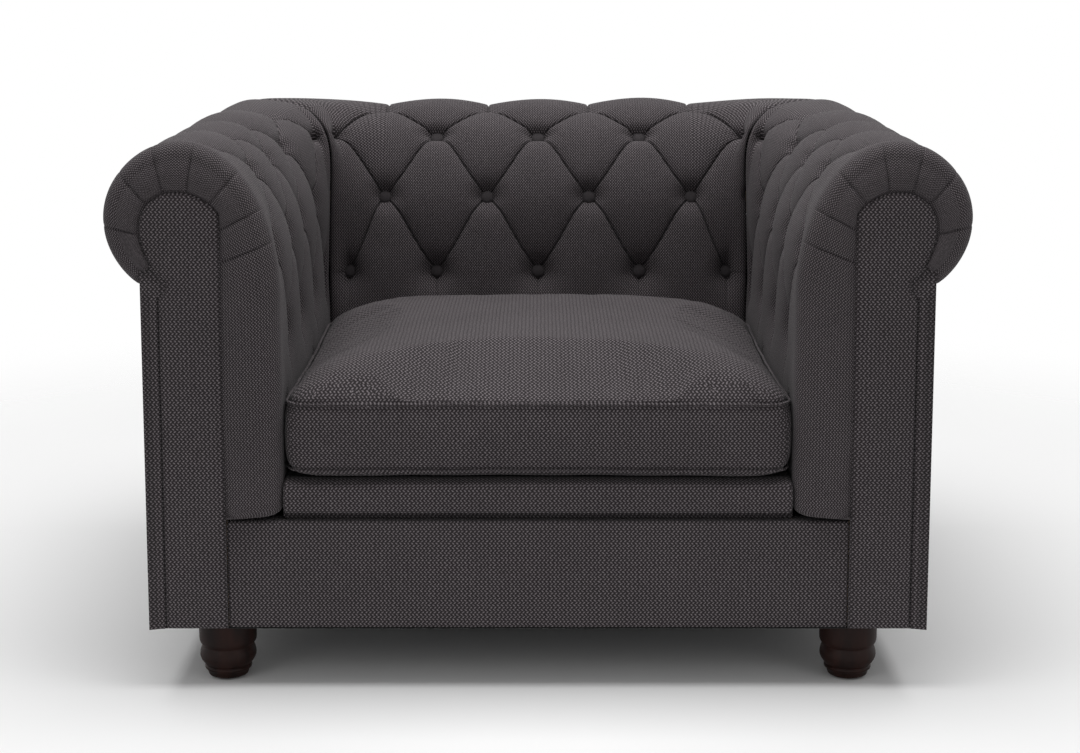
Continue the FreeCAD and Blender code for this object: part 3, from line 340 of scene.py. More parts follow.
def lay_weave(obj, places=None):
    """Gives a mesh its weave coordinates in metres: stated ones, or by each face's direction."""
    mesh = obj.data
    layer = mesh.uv_layers.get("weave") or mesh.uv_layers.new(name="weave")
    loops = read_array(mesh.loops, "vertex_index", 1, np.int32)[:, 0]
    if places is None:
        facing = np.abs(read_array(mesh.polygons, "normal", 3)).argmax(1)
        facing = np.repeat(facing, read_array(mesh.polygons, "loop_total", 1, np.int32)[:, 0])
        axes = np.array(((1, 2), (0, 2), (0, 1)))[facing]
        flat = np.take_along_axis(vertex_points(obj)[loops], axes, axis=1)
    else:
        flat = places[loops]
    layer.data.foreach_set("uv", flat.astype(np.float32).ravel())


def finished(
    obj, *replaced, material=fabric, body="chair", slot="upholstery_fabric", weave=None, fill=None
):
    """Dresses a piece, puts it on its body and hides the solids that it stands for."""
    set_material(obj, material)
    lay_weave(obj, weave)
    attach(obj, body)
    if replaced:
        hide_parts(*replaced)


# Section of the pads
# A place along the section is given by its row: 3, 2, 1 and 0 are the button rows from the
# lowest to the crest's pleats, larger numbers run down the inner face and under the pad, and
# negative numbers run over the crest and round the roll to its tail under the outside cover.

ROW_HEIGHTS = {3: 0.480, 2: 0.610, 1: 0.718, 0: 0.757}
ROW_BOTTOM = 5.0
ROW_UNDER = 5.5
ROW_CREST = -0.42
ROW_OUTSIDE = -1.7
ROW_TAIL = -2.9
ROW_END = -3.1
BOTTOM_ROUND = 0.016
FULL_POWER = 5.0


def section_profile(power):
    """Rows with their out-distances and heights; a higher power gives a fuller shoulder."""
    places = [(ROW_UNDER, PAD_THICK * 0.9, PAD_BOTTOM)]
    for step in range(8):
        angle = QUARTER * step / 8
        out = BOTTOM_ROUND * (1 - math.sin(angle))
        height = PAD_BOTTOM + BOTTOM_ROUND * (1 - math.cos(angle))
        places.append((ROW_BOTTOM + 0.12 * (1 - step / 8), out, height))
    places += [(ROW_BOTTOM, 0.0, PAD_BOTTOM + BOTTOM_ROUND), (3.0, 0.0, ROW_HEIGHTS[3])]
    # Shoulder, from its start to the crest, by arc length between the rows
    turns = np.linspace(0.0, QUARTER, 400)
    outs = ROLL_CENTRE_OUT * (1 - np.cos(turns) ** (2 / power))
    heights = SHOULDER_START + SHOULDER_DROP * np.sin(turns) ** (2 / power)
    run = run_lengths(np.column_stack((outs, heights))) + SHOULDER_START - ROW_HEIGHTS[3]
    stops = [0.0] + [np.interp(ROW_HEIGHTS[row], heights, run) for row in (2, 1, 0)] + [run[-1]]
    rows = np.interp(run, stops, [3.0, 2.0, 1.0, 0.0, ROW_CREST])
    places += zip(rows[::3], outs[::3], heights[::3])
    tail = math.asin((COVER_OUT - 0.004 - ROLL_CENTRE_OUT) / ROLL_RADIUS) - QUARTER
    for angle in np.linspace(QUARTER, tail, 61):
        if angle > 0:
            row = ROW_CREST + (ROW_OUTSIDE - ROW_CREST) * (1 - angle / QUARTER)
        else:
            row = ROW_OUTSIDE + (ROW_TAIL - ROW_OUTSIDE) * angle / tail
        out = ROLL_CENTRE_OUT + ROLL_RADIUS * math.cos(angle)
        places.append((row, out, ROLL_CENTRE_Z + ROLL_RADIUS * math.sin(angle)))
    places.append((ROW_END, places[-1][1] - 0.006, places[-1][2] + 0.014))
    table = np.array(sorted(places, key=lambda place: place[0]))
    return table[np.diff(table[:, 0], prepend=-math.inf) > 1e-7].T


PLAIN_PROFILE = section_profile(2.0)
FULL_PROFILE = section_profile(FULL_POWER)
CORNER_BULGE = 0.012


def on_profile(row, profile=PLAIN_PROFILE):
    return np.interp(row, profile[0], profile[1]), np.interp(row, profile[0], profile[2])


def section_place(row, fullness):
    """Out-distance and height of a row; fullness runs from 0 in the open to 1 in the corner."""
    out, height = on_profile(row)
    full_out, full_height = on_profile(row, FULL_PROFILE)
    swell = bell(row - 1.1, 0.8) * CORNER_BULGE
    return out + (full_out - out - swell) * fullness, height + (full_height - height) * fullness


PLEAT_DEPTH = 0.0135
DIMPLE_DEPTH = 0.0165
CREASE_DEPTH = 0.0030
CREASE_WIDTH = 0.0022
DIMPLE_SPREAD = 0.024
BUTTON_DIMPLE = (0.004, 0.015)
PILLOW_POWER = 0.42
PLEAT_BOW = 0.9
ROW_STEP = 0.125
BELOW_FADE = 0.40
CREST_FADE = 1.15
SIDE_FADE = 0.55


def bowed(share):
    """Pleats leave an upper button sideways and then straighten towards the lower one."""
    return share + PLEAT_BOW * share * (1 - share) ** 4


BOW_TABLE = np.linspace(0.0, 1.0, 400)
BOWED_TABLE = bowed(BOW_TABLE)


def straightened(lattice_row):
    """The row on the section where a row of the lattice lies."""
    whole = np.floor(lattice_row)
    inside = (lattice_row >= 0) & (lattice_row <= 3)
    row = whole + np.interp(lattice_row - whole, BOWED_TABLE, BOW_TABLE)
    return np.where(inside, row, lattice_row)


def tuft_depth(row, column, first, last, column_step, button_share):
    """How far the cover is drawn in below the pillows' tops at a place of the lattice."""
    row_in = np.clip(row, 0.0, 3.0)
    column_in = np.clip(column, first, last)
    rising = (row_in + column_in) / 2
    falling = (row_in - column_in) / 2
    near_rising = np.abs(rising - np.round(rising))
    near_falling = np.abs(falling - np.round(falling))
    pillow = (np.sin(math.pi * near_rising) * np.sin(math.pi * near_falling)) ** PILLOW_POWER
    edge = np.minimum(near_rising, near_falling) * 2 * ROW_STEP
    crease = bell(edge, CREASE_WIDTH)
    fade = bell(np.maximum(row - 3.0, 0), BELOW_FADE) * bell(np.maximum(-row, 0), CREST_FADE)
    for past in (first - column, column - last):
        fade *= bell(np.maximum(past, 0), SIDE_FADE)
    depth = (PLEAT_DEPTH * (1 - pillow) + CREASE_DEPTH * crease) * fade
    button_row = np.round(rising) + np.round(falling)
    button_column = np.round(rising) - np.round(falling)
    apart = ((row - button_row) * ROW_STEP) ** 2 + ((column - button_column) * column_step) ** 2
    share = button_share(button_row, button_column)
    depth += DIMPLE_DEPTH * share * np.exp(-apart / DIMPLE_SPREAD**2)
    return depth + BUTTON_DIMPLE[0] * share * np.exp(-apart / BUTTON_DIMPLE[1] ** 2)


def clustered(count):
    """Steps from 0 to 1 that crowd together at both ends, where the pleats are."""
    even = np.linspace(0.0, 1.0, count + 1)
    return even - 0.93 / ROUND * np.sin(ROUND * even)


PATCH_STEPS = 30
SLACK = 1e-7
ROWS_DOWN = [3.0, 3.012, 3.03, 3.06, 3.1, 3.16, 3.24, 3.34, 3.46, 3.6, 3.8, 4.05, 4.3, 4.6, 4.85]
ROWS_DOWN += [ROW_BOTTOM + 0.015 * step for step in range(9)] + [5.3, ROW_UNDER]
ROWS_OVER = [0.0, -0.02, -0.05, -0.1, -0.16, -0.24, -0.33]
ROWS_OVER += list(np.linspace(ROW_CREST, ROW_TAIL, 44)) + [ROW_END]


class Lattice:
    """A mesh of diamonds between the button rows, with plain margins all round it."""

    def __init__(self, first, last, margins, extra_rows=()):
        self.keys = {}
        self.places = []
        self.faces = []
        self.build_diamonds(first, last)
        self.build_margins(first, last, margins, extra_rows)

    def point(self, row, column):
        key = (round(row, 6), round(column, 6))
        if key not in self.keys:
            self.keys[key] = len(self.places)
            self.places.append((row, column))
        return self.keys[key]

    def build_diamonds(self, first, last):
        steps = clustered(PATCH_STEPS)[:-1]

        def line(low, high):
            return [whole + step for whole in range(low, high + 1) for step in steps]

        rising = line(math.floor(first / 2) - 1, math.ceil((3 + last) / 2) + 1)
        falling = line(math.floor(-last / 2) - 1, math.ceil((3 - first) / 2) + 1)
        for i, j in product(range(len(rising) - 1), range(len(falling) - 1)):
            corners = []
            for a, b in ((i, j), (i + 1, j), (i + 1, j + 1), (i, j + 1)):
                row, column = rising[a] + falling[b], rising[a] - falling[b]
                if -SLACK <= row <= 3 + SLACK and first - SLACK <= column <= last + SLACK:
                    corners.append((row, column))
            if len(corners) >= 3:
                face = [self.point(*corner) for corner in corners]
                if len(set(face)) >= 3:
                    self.faces.append(face)

    def grid(self, rows, columns):
        for low, high in zip(rows, rows[1:]):
            for left, right in zip(columns, columns[1:]):
                corners = ((low, left), (high, left), (high, right), (low, right))
                self.faces.append([self.point(*corner) for corner in corners])

    def zip_strip(self, coarse, fine, column, next_column):
        """Joins an edge of the diamonds to a margin whose rows may lie closer together."""
        for low, high in zip(coarse, coarse[1:]):
            between = [row for row in fine if low - SLACK <= row <= high + SLACK]
            face = [self.point(low, column), self.point(high, column)]
            face += [self.point(row, next_column) for row in reversed(between)]
            self.faces.append(face)

    def build_margins(self, first, last, margins, extra_rows):
        places = np.array(self.places)

        def rounded(rows):
            return [round(float(row), 6) for row in rows]

        def boundary(axis, value):
            found = places[np.abs(places[:, axis] - value) < 1e-6][:, 1 - axis]
            return sorted(set(rounded(found)))

        self.grid(ROWS_DOWN, boundary(0, 3.0))
        self.grid(ROWS_OVER, boundary(0, 0.0))
        for columns, edge, extra in ((margins[0], first, extra_rows), (margins[1], last, ())):
            rows = sorted(set(rounded(boundary(1, edge) + ROWS_DOWN[1:] + ROWS_OVER[1:])))
            known = np.array(rows)
            close = [row for row in extra if np.abs(known - row).min() > 0.004]
            fine = sorted(set(rows + rounded(close)))
            self.zip_strip(rows, fine, columns[0], columns[1])
            self.grid(fine, columns[1:])


BUTTON_PROFILE = ((0.35, -0.35), (0.8, -0.3), (0.98, 0.0), (1.0, 0.25), (0.93, 0.55))
BUTTON_PROFILE += ((0.78, 0.78), (0.55, 0.92), (0.28, 0.985))
BUTTON_RADIUS = 0.0113
BUTTON_HEIGHT = 0.0095
BUTTON_STEPS = 28
BUTTON_LIFT = 0.0045


def button_mesh(name, spots):
    """Domed covered buttons, one mesh, each standing on a spot along its direction."""
    turns = ROUND * np.arange(BUTTON_STEPS) / BUTTON_STEPS
    circle = np.column_stack((np.cos(turns), np.sin(turns))) * BUTTON_RADIUS
    rings = []
    for share, rise in BUTTON_PROFILE:
        rings.append(np.insert(circle * share, 2, rise * BUTTON_HEIGHT, 1))
    dome = np.vstack(rings + [((0, 0, -0.35 * BUTTON_HEIGHT), (0, 0, BUTTON_HEIGHT))])
    bottom, top = len(dome) - 2, len(dome) - 1
    dome_faces = grid_faces(len(BUTTON_PROFILE), BUTTON_STEPS, True)
    for step in range(BUTTON_STEPS):
        after = (step + 1) % BUTTON_STEPS
        last = bottom - BUTTON_STEPS
        dome_faces += [(after, step, bottom), (last + step, last + after, top)]
    vertices = []
    faces = []
    for number, (centre, heading) in enumerate(spots):
        turn = np.array(heading.to_track_quat("Z", "Y").to_matrix())
        vertices.append(dome @ turn.T + np.array(centre))
        faces += [[number * len(dome) + place for place in face] for face in dome_faces]
    return mesh_object(name, np.vstack(vertices), faces)


class Pad:
    """A buttoned pad: a lattice, the smooth surface that it lies on and how deep it is drawn in."""

    def __init__(self, lattice, base, depth, inward):
        self.lattice = lattice
        self.base = base
        self.depth = depth
        self.inward = inward

    def surface(self, row, column):
        step = 1e-4
        points = self.base(row, column)
        by_row = self.base(row + step, column) - self.base(row - step, column)
        by_column = self.base(row, column + step) - self.base(row, column - step)
        normal = np.cross(by_row, by_column) * self.inward
        normal /= np.maximum(np.linalg.norm(normal, axis=1), 1e-12)[:, None]
        return points, normal, self.depth(row, column)

    def points(self):
        places = np.array(self.lattice.places)
        points, normal, depth = self.surface(places[:, 0], places[:, 1])
        return points + normal * (depth + unevenness(points))[:, None]

    def button_spots(self, buttons):
        spots = []
        for row, column in buttons:
            points, normal, depth = self.surface(np.array([float(row)]), np.array([float(column)]))
            # The crease is narrower than the button, so the button rests above its bottom
            seat = points[0] + normal[0] * (depth[0] - CREASE_DEPTH - BUTTON_LIFT)
            spots.append((Vector(seat), Vector(-normal[0])))
        return spots


def unevenness(points):
    """Slight swells and hollows of hand-stuffed padding."""
    x, y, z = points[:, 0], points[:, 1], points[:, 2]
    wave = np.sin(11.0 * x + 5.0 * z + 1.3) * np.sin(9.0 * y - 7.0 * z)
    wave += 0.6 * np.sin(23.0 * y + 13.0 * x) * np.sin(19.0 * z - 8.0 * x + 0.7)
    wave += 0.35 * np.sin(41.0 * z + 31.0 * y) * np.sin(37.0 * x + 29.0 * y + 2.1)
    return wave * 0.0011


def cornered(reach):
    reach = np.clip(reach, 0, 1)
    return reach**2 * (3 - 2 * reach) * 0.9


def seam_depth(distance):
    """How far the cover is drawn in beside the seam in a corner."""
    return 0.0035 * bell(distance, 0.0035) + 0.004 * bell(distance, 0.014)


# Arms

ARM_FIRST_EVEN = 0.0875
ARM_HALF_PITCH = 0.0825
ARM_LAST = 7
ARM_CORNER_DEEP = 0.655
EDGE_ROUND = 0.022


def arm_along(column, out):
    """Depth behind the front plane: even steps, then a stretch that ends in the corner."""
    even = ARM_FIRST_EVEN + ARM_HALF_PITCH * column
    start = ARM_FIRST_EVEN + ARM_HALF_PITCH * 5
    corner = ARM_CORNER_DEEP + np.clip(out, 0, None) * 0.75
    deep = np.where(column > 5, start + (corner - start) * (column - 5) / 2, even)
    past = np.clip(column - ARM_LAST, 0, 2)
    deep = np.where(column > ARM_LAST, corner + (SEAT_DEEP + out - corner) * past, deep)
    before = np.clip(-column, 0, 2)
    return np.where(column < 0, ARM_FIRST_EVEN + (EDGE_ROUND - ARM_FIRST_EVEN) * before, deep)


def arm_share(row, column):
    share = np.where(row == 0, 0.22, 1.0)
    return np.where(column >= ARM_LAST, share * 0.6, share)


def arc_points(start, way, end, steps=24):
    """Points of the arc through three places, after its start."""
    a, b, c = complex(*start), complex(*way), complex(*end)
    w = (c - a) / (b - a)
    centre = a + (b - a) * (w - abs(w) ** 2) / (2j * w.imag)
    middle = cmath.phase((b - centre) / (a - centre)) % ROUND
    turn = cmath.phase((c - centre) / (a - centre)) % ROUND
    if middle > turn:
        turn -= ROUND
    steps = [turn * step / steps for step in range(1, steps + 1)]
    spots = [centre + (a - centre) * cmath.rect(1, step) for step in steps]
    return [(spot.real, spot.imag) for spot in spots]


FACING_INNER = facing_low.x - INNER
FACING_OUTER = FACING_INNER + 0.0852
FACING_HEAD = facing_high.x - INNER


def facing_outline():
    """The scroll-shaped outline of the arm front as (out, height), from its inner foot up."""
    places = [(FACING_INNER, BASE), (FACING_INNER, 0.668)]
    places += arc_points(places[-1], (0.0993, 0.688), (0.135, 0.698))
    places += arc_points(places[-1], (0.173, 0.683), (FACING_HEAD, 0.648))
    places += arc_points(places[-1], (0.179, 0.612), (0.153, 0.576))
    places += arc_points(places[-1], (0.1545, 0.5605), (FACING_OUTER, 0.549), 10)
    places.append((FACING_OUTER, BASE))
    return np.array(places)


def resampled(line, step):
    """A polyline's points at an even step that keeps its corners."""
    places = [line[0]]
    for start, end in zip(line, line[1:]):
        count = max(1, int(round(np.linalg.norm(end - start) / step)))
        for part in range(1, count + 1):
            places.append(start + (end - start) * part / count)
    return np.array(places)


OUTLINE = facing_outline()
RING_LINE = resampled(np.vstack(([[FACING_INNER, PAD_BOTTOM]], OUTLINE[1:-1])), 0.003)
RING_RUN = run_lengths(RING_LINE)
SECTION_RUN = run_lengths(np.stack((PLAIN_PROFILE[1], PLAIN_PROFILE[2]), axis=1))
RADIAL_PLEATS = (
    ((0.000, 0.631), (0.079, 0.602)),
    ((0.031, 0.669), (0.083, 0.647)),
    ((0.057, 0.720), (0.091, 0.681)),
    ((0.110, 0.764), (0.120, 0.703)),
    ((0.169, 0.759), (0.153, 0.705)),
    ((0.222, 0.731), (0.180, 0.688)),
    ((0.237, 0.650), (0.191, 0.639)),
    ((0.192, 0.571), (0.169, 0.597)),
)


def nearest_row(place):
    gaps = np.hypot(PLAIN_PROFILE[1] - place[0], PLAIN_PROFILE[2] - place[1])
    return float(PLAIN_PROFILE[0][gaps.argmin()])


def nearest_ring_run(place):
    return float(RING_RUN[np.hypot(*(RING_LINE - np.array(place)).T).argmin()])


PLEAT_ROWS = [nearest_row(outer) for outer, _ in RADIAL_PLEATS]
PLEAT_RUNS = [nearest_ring_run(inner) for _, inner in RADIAL_PLEATS]
MATCH_ROWS = np.array([-(ROW_BOTTOM + 0.12)] + [-row for row in PLEAT_ROWS] + [-ROW_TAIL])
MATCH_RUNS = np.array([0.0] + PLEAT_RUNS + [nearest_ring_run((0.156, 0.5575))])
ROUND_SHARE = 0.40
PUCKER_DEPTH = 0.0022
PUCKER_SPREAD = 0.026
RING_CREASE = 0.0030
RING_BULGE = 0.0050
RING_TUCK = 0.0055


def ring_run(section_row):
    return np.interp(-section_row, MATCH_ROWS, MATCH_RUNS)


def ring_place(section_row, share):
    """From the pad's front edge (share 0) round and in to the facing's outline (share 1)."""
    out, height = on_profile(section_row)
    run = ring_run(section_row)
    way_out = np.interp(run, RING_RUN, RING_LINE[:, 0]) - out
    way_up = np.interp(run, RING_RUN, RING_LINE[:, 1]) - height
    gap = np.maximum(np.hypot(way_out, way_up), 1e-6)
    bend = np.minimum(EDGE_ROUND, gap * 0.55)
    turn = np.clip(share / ROUND_SHARE, -0.1, 1) * QUARTER
    flat = np.clip((share - ROUND_SHARE) / (1 - ROUND_SHARE), 0, 1.1)
    in_bend = share < ROUND_SHARE
    moved = np.where(in_bend, bend * (1 - np.cos(turn)), bend + (gap - bend) * flat)
    moved = np.where(share < 0, 0, moved) / gap
    deep = np.where(in_bend, EDGE_ROUND * (1 - np.sin(turn)), 0.0)
    tuck = np.clip((flat - 0.72) / 0.28, 0, 1)
    tail = np.clip((-2.6 - section_row) / 0.25, 0, 1)
    deep = deep - RING_BULGE * np.sin(np.clip(flat, 0, 1) * math.pi) + RING_TUCK * tuck**2
    deep = deep + 0.011 * tail * np.clip(share / 0.3, 0, 1)
    return out + way_out * moved, deep, height + way_up * moved


def arm_base(row, column):
    section_row = straightened(row)
    out, height = section_place(section_row, cornered((column - 4.6) / (ARM_LAST + 1 - 4.6)))
    plain = np.stack((INNER + out, FRONT + arm_along(column, out), height), axis=1)
    out, deep, height = ring_place(section_row, -1 - column)
    ring = np.stack((INNER + out, FRONT + deep, height), axis=1)
    return np.where((column < -1)[:, None], ring, plain)


def ring_depth(row, column):
    section_row = straightened(row)
    share = np.clip(-1 - column, 0, 1)
    fade = np.interp(-column, [0.9, 1.1, 1.4, 1.8, 1.93, 2.0], [0.0, 0.25, 0.9, 1.0, 0.8, 0.2])

    def run(rows):
        along_pad = -np.interp(rows, PLAIN_PROFILE[0], SECTION_RUN)
        return along_pad * (1 - share) + ring_run(rows) * share

    here = run(section_row)
    nearest = np.full(len(row), 1.0)
    for pleat_row in PLEAT_ROWS:
        nearest = np.minimum(nearest, np.abs(here - run(np.full(len(row), pleat_row))))
    pillow = np.clip(nearest / PUCKER_SPREAD, 0, 1)
    pillow = (pillow * (2 - pillow)) ** 0.7
    crease = bell(nearest, 0.0019)
    return fade * (PUCKER_DEPTH * (1 - pillow) + RING_CREASE * crease)


def arm_depth(row, column):
    depth = tuft_depth(row, column, 0, ARM_LAST, ARM_HALF_PITCH, arm_share)
    depth += np.where(column < 0, ring_depth(row, column), 0.0)
    return depth + seam_depth((ARM_LAST + 1 - column) * 0.11)


def lattice_row(section_row):
    if 0 <= section_row <= 3:
        whole = math.floor(section_row)
        return whole + float(bowed(section_row - whole))
    return section_row


fine_rows = [lattice_row(row) for row in np.arange(ROW_TAIL, ROW_BOTTOM, 0.03)]
for pleat_row in PLEAT_ROWS:
    for shift in (-0.034, -0.022, -0.012, -0.005, 0.0, 0.005, 0.012, 0.022, 0.034):
        fine_rows.append(lattice_row(pleat_row + shift))
fine_rows = sorted(row for row in fine_rows if ROW_END < row < ROW_UNDER)
spaced_rows = fine_rows[:1]
for fine_row in fine_rows[1:]:
    if fine_row - spaced_rows[-1] > 0.004:
        spaced_rows.append(fine_row)

front_columns = [0.0, -0.03, -0.08, -0.16, -0.26, -0.38, -0.5, -0.62, -0.74, -0.84, -0.92]
front_columns += [-1 - ROUND_SHARE * step / 8 for step in range(8)]
front_columns += [-1 - ROUND_SHARE - (1 - ROUND_SHARE) * step / 13 for step in range(14)]
front_columns.append(-2.04)
corner_steps = [0.0, 0.04, 0.1, 0.18, 0.28, 0.4, 0.52, 0.64, 0.74, 0.82, 0.88, 0.93, 0.965]
corner_steps += [0.985, 1.0]
arm_margins = (front_columns, [ARM_LAST + step for step in corner_steps])
arm_lattice = Lattice(0, ARM_LAST, arm_margins, spaced_rows)
arm_pad = Pad(arm_lattice, arm_base, arm_depth, 1.0)
ARM_BUTTONS = [(row, column) for row in (1, 3) for column in (1, 3, 5)]
ARM_BUTTONS += [(2, column) for column in (0, 2, 4, 6)]


def arm_weave_places():
    """Cloth coordinates: along the arm, and round its section."""
    places = np.array(arm_lattice.places)
    section_row = straightened(places[:, 0])
    around = np.interp(section_row, PLAIN_PROFILE[0], SECTION_RUN)
    deep = arm_along(places[:, 1], 0.0)
    deep = np.where(places[:, 1] < -1, EDGE_ROUND - (-1 - places[:, 1]) * 0.095, deep)
    return np.column_stack((deep, around))


arm_points = arm_pad.points()
arm_weave = arm_weave_places()
arm_spots = arm_pad.button_spots(ARM_BUTTONS)
for side_name, side in SIDES:
    points = arm_points * np.array([side, 1, 1])
    pad = mesh_object(f"tufted_arm_{side_name}", points, arm_lattice.faces)
    face_outwards(pad)
    finished(pad, f"arm_pad_{side_name}", material=pad_fabric, weave=arm_weave, fill=0.8)
    mirrored = [[Vector((spot.x * side, spot.y, spot.z)) for spot in pair] for pair in arm_spots]
    buttons = button_mesh(f"covered_buttons_{side_name}", mirrored)
    finished(buttons, f"arm_buttons_{side_name}", material=button_fabric)

# Back

BACK_HALF_PITCH = 0.086
BACK_PLAIN = BACK_HALF_PITCH * 3
BACK_CORNER = 0.320


def back_along(column, out):
    steps = np.abs(column - 1)
    corner = BACK_CORNER + np.clip(out, 0, None) * 0.75
    near = BACK_PLAIN + (corner - BACK_PLAIN) * np.clip(steps - 3, 0, 1)
    past = corner + (INNER + out - corner) * np.clip(steps - 4, 0, 2)
    place = np.where(steps > 3, near, BACK_HALF_PITCH * np.minimum(steps, 3))
    return np.where(steps > 4, past, place) * np.sign(column - 1)


def back_base(row, column):
    section_row = straightened(row)
    out, height = section_place(section_row, cornered((np.abs(column - 1) - 2.6) / 2.4))
    return np.stack((back_along(column, out), BACK_FACE + out, height), axis=1)


def back_share(row, column):
    share = np.where(row == 0, 0.22, 1.0)
    return np.where((np.abs(column - 1) >= 4) & (row < 3), share * 0.5, share)


def back_depth(row, column):
    depth = tuft_depth(row, column, -3, 5, BACK_HALF_PITCH, back_share)
    return depth + seam_depth((5 - np.abs(column - 1)) * 0.07)


back_margins = ([-3 - step for step in corner_steps], [5 + step for step in corner_steps])
back_lattice = Lattice(-3, 5, back_margins)
back_pad = Pad(back_lattice, back_base, back_depth, -1.0)
BACK_BUTTONS = [(1, column) for column in (-1, 1, 3)]
BACK_BUTTONS += [(2, column) for column in (-2, 0, 2, 4)]
BACK_BUTTONS += [(3, column) for column in (-3, -1, 1, 3, 5)]
back_places = np.array(back_lattice.places)
back_around = np.interp(straightened(back_places[:, 0]), PLAIN_PROFILE[0], SECTION_RUN)
back_weave = np.column_stack((back_along(back_places[:, 1], 0.0), back_around))
back = mesh_object("tufted_back", back_pad.points(), back_lattice.faces)
face_outwards(back)
finished(back, "back_pad", material=pad_fabric, weave=back_weave, fill=0.8)
back_buttons = button_mesh("covered_buttons_back", back_pad.button_spots(BACK_BUTTONS))
finished(back_buttons, "back_buttons", material=button_fabric)

# Arm facings


def inset_line(line, distance):
    """A closed outline moved inwards; the outline runs with its inside on the right."""
    before = np.roll(line, 1, axis=0)
    after = np.roll(line, -1, axis=0)
    first = line - before
    second = after - line
    first /= np.linalg.norm(first, axis=1)[:, None]
    second /= np.linalg.norm(second, axis=1)[:, None]
    normal_a = np.stack((first[:, 1], -first[:, 0]), axis=1)
    normal_b = np.stack((second[:, 1], -second[:, 0]), axis=1)
    middle = normal_a + normal_b
    middle /= np.linalg.norm(middle, axis=1)[:, None]
    stretch = np.clip((middle * normal_a).sum(axis=1), 0.6, 1)
    return line + middle * (distance / stretch)[:, None]


def outline_distance(places, line):
    """Distance of each place from a closed outline."""
    best = np.full(len(places), 1.0)
    for start, end in zip(line, np.roll(line, -1, axis=0)):
        way = end - start
        share = np.clip(((places - start) @ way) / (way @ way), 0, 1)
        gap = np.linalg.norm(places - start - share[:, None] * way, axis=1)
        best = np.minimum(best, gap)
    return best


FACING_INSETS = (0.0010, 0.0024, 0.0046, 0.0080, 0.0130)
FACING_DEPTHS = (0.0052, 0.0026, 0.0010, 0.0, -0.0010, -0.0018, -0.0026)


def facing_piece(side_name, side):
    """Flat stuffed panel: a rounded rim, and a face that is fullest in the middle."""
    line = resampled(np.vstack((OUTLINE, OUTLINE[:1])), 0.005)[:-1]
    count = len(line)
    places = [line]
    for inset in FACING_INSETS:
        ring = inset_line(line, inset)
        ring = ring[outline_distance(ring, line) > inset * 0.96]
        places.append(ring[::2] if inset > 0.005 else ring)
    low, high = line.min(axis=0), line.max(axis=0)
    across, up = np.meshgrid(np.arange(low[0], high[0], 0.009), np.arange(low[1], high[1], 0.009))
    grid = np.column_stack((across.ravel(), up.ravel()))
    places.append(grid[outline_distance(grid, line) > 0.0175])
    places = [Vector(place) for place in np.vstack(places)]
    edges = [(place, (place + 1) % count) for place in range(count)]
    flat, _, faces, _, _, _ = delaunay_2d_cdt(places, edges, [], 1, 1e-6, False)
    flat = np.array([tuple(place) for place in flat])
    deep = np.interp(outline_distance(flat, line), (0.0, *FACING_INSETS, 0.030), FACING_DEPTHS)
    vertices = [((INNER + out) * side, FRONT + y, z) for (out, z), y in zip(flat, deep)]
    faces = [tuple(face) for face in faces]
    rim = [int(np.hypot(*(flat - place).T).argmin()) for place in line]
    start = len(vertices)
    vertices += [((INNER + out) * side, FRONT + 0.012, z) for out, z in line]
    for place in range(count):
        after = (place + 1) % count
        faces.append((rim[place], rim[after], start + after, start + place))
    obj = mesh_object(f"arm_front_panel_{side_name}", vertices, faces)
    face_outwards(obj)
    finished(obj, f"arm_facing_{side_name}")


for side_name, side in SIDES:
    facing_piece(side_name, side)

# Outside covers, apron, lip and deck

COVER_LEVELS = (0, 0.001, 0.003, 0.006, 0.011, 0.02, *np.linspace(0.035, 0.42, 26))
COVER_LEVELS += (0.44, 0.452, 0.458, 0.463, 0.467, 0.4702)
COVER_ROUND = 0.007


def outside_cover(side_name, side):
    """Side cover with its narrow return on the front, one sheet round a soft corner."""
    start = FACING_OUTER + SOFT_GAP + 0.0004
    plan = [(start, 0.010), (start, 0.003), (start + 0.0016, 0.0004)]
    for angle in np.linspace(0, QUARTER, 7):
        fall = COVER_ROUND * (1 - math.cos(angle))
        plan.append((COVER_OUT - COVER_ROUND * (1 - math.sin(angle)), fall))
    rear = cover_high.y - FRONT
    plan += [(COVER_OUT, deep) for deep in np.linspace(COVER_ROUND, rear - 0.004, 60)[1:]]
    plan += [(COVER_OUT - 0.0015, rear - 0.0008), (COVER_OUT - 0.004, rear)]
    plan = np.array(plan + [(COVER_OUT - 0.006, rear)])
    run = run_lengths(plan)
    tall = COVER_TOP + 0.001 - BASE
    hollow = 0.0018 * np.clip((run - 0.03) / 0.2, 0, 1) * np.clip((run[-1] - run) / 0.2, 0, 1)
    rows = []
    for level in np.array(COVER_LEVELS) / COVER_LEVELS[-1]:
        height = np.full(len(run), BASE + tall * level)
        near = tall * min(level, 1 - level)
        fall = 0.0026 * math.exp(-near / 0.009 * 2.2) - hollow * math.sin(math.pi * level)
        out = plan[:, 0] - np.where(run > 0.012, fall, 0.0)
        y = FRONT + plan[:, 1] + np.where(run <= 0.022, fall, 0.0)
        wobble = 0.0006 * np.sin(13 * y + 5 * height) * np.clip((run - 0.05) / 0.1, 0, 1)
        rows.append(np.column_stack(((INNER + out - np.abs(wobble)) * side, y, height)))
    obj = lofted(f"outside_arm_cover_{side_name}", rows, False)
    modified(obj, "SOLIDIFY", thickness=0.004, offset=-1)
    finished(obj, f"outside_arm_{side_name}")


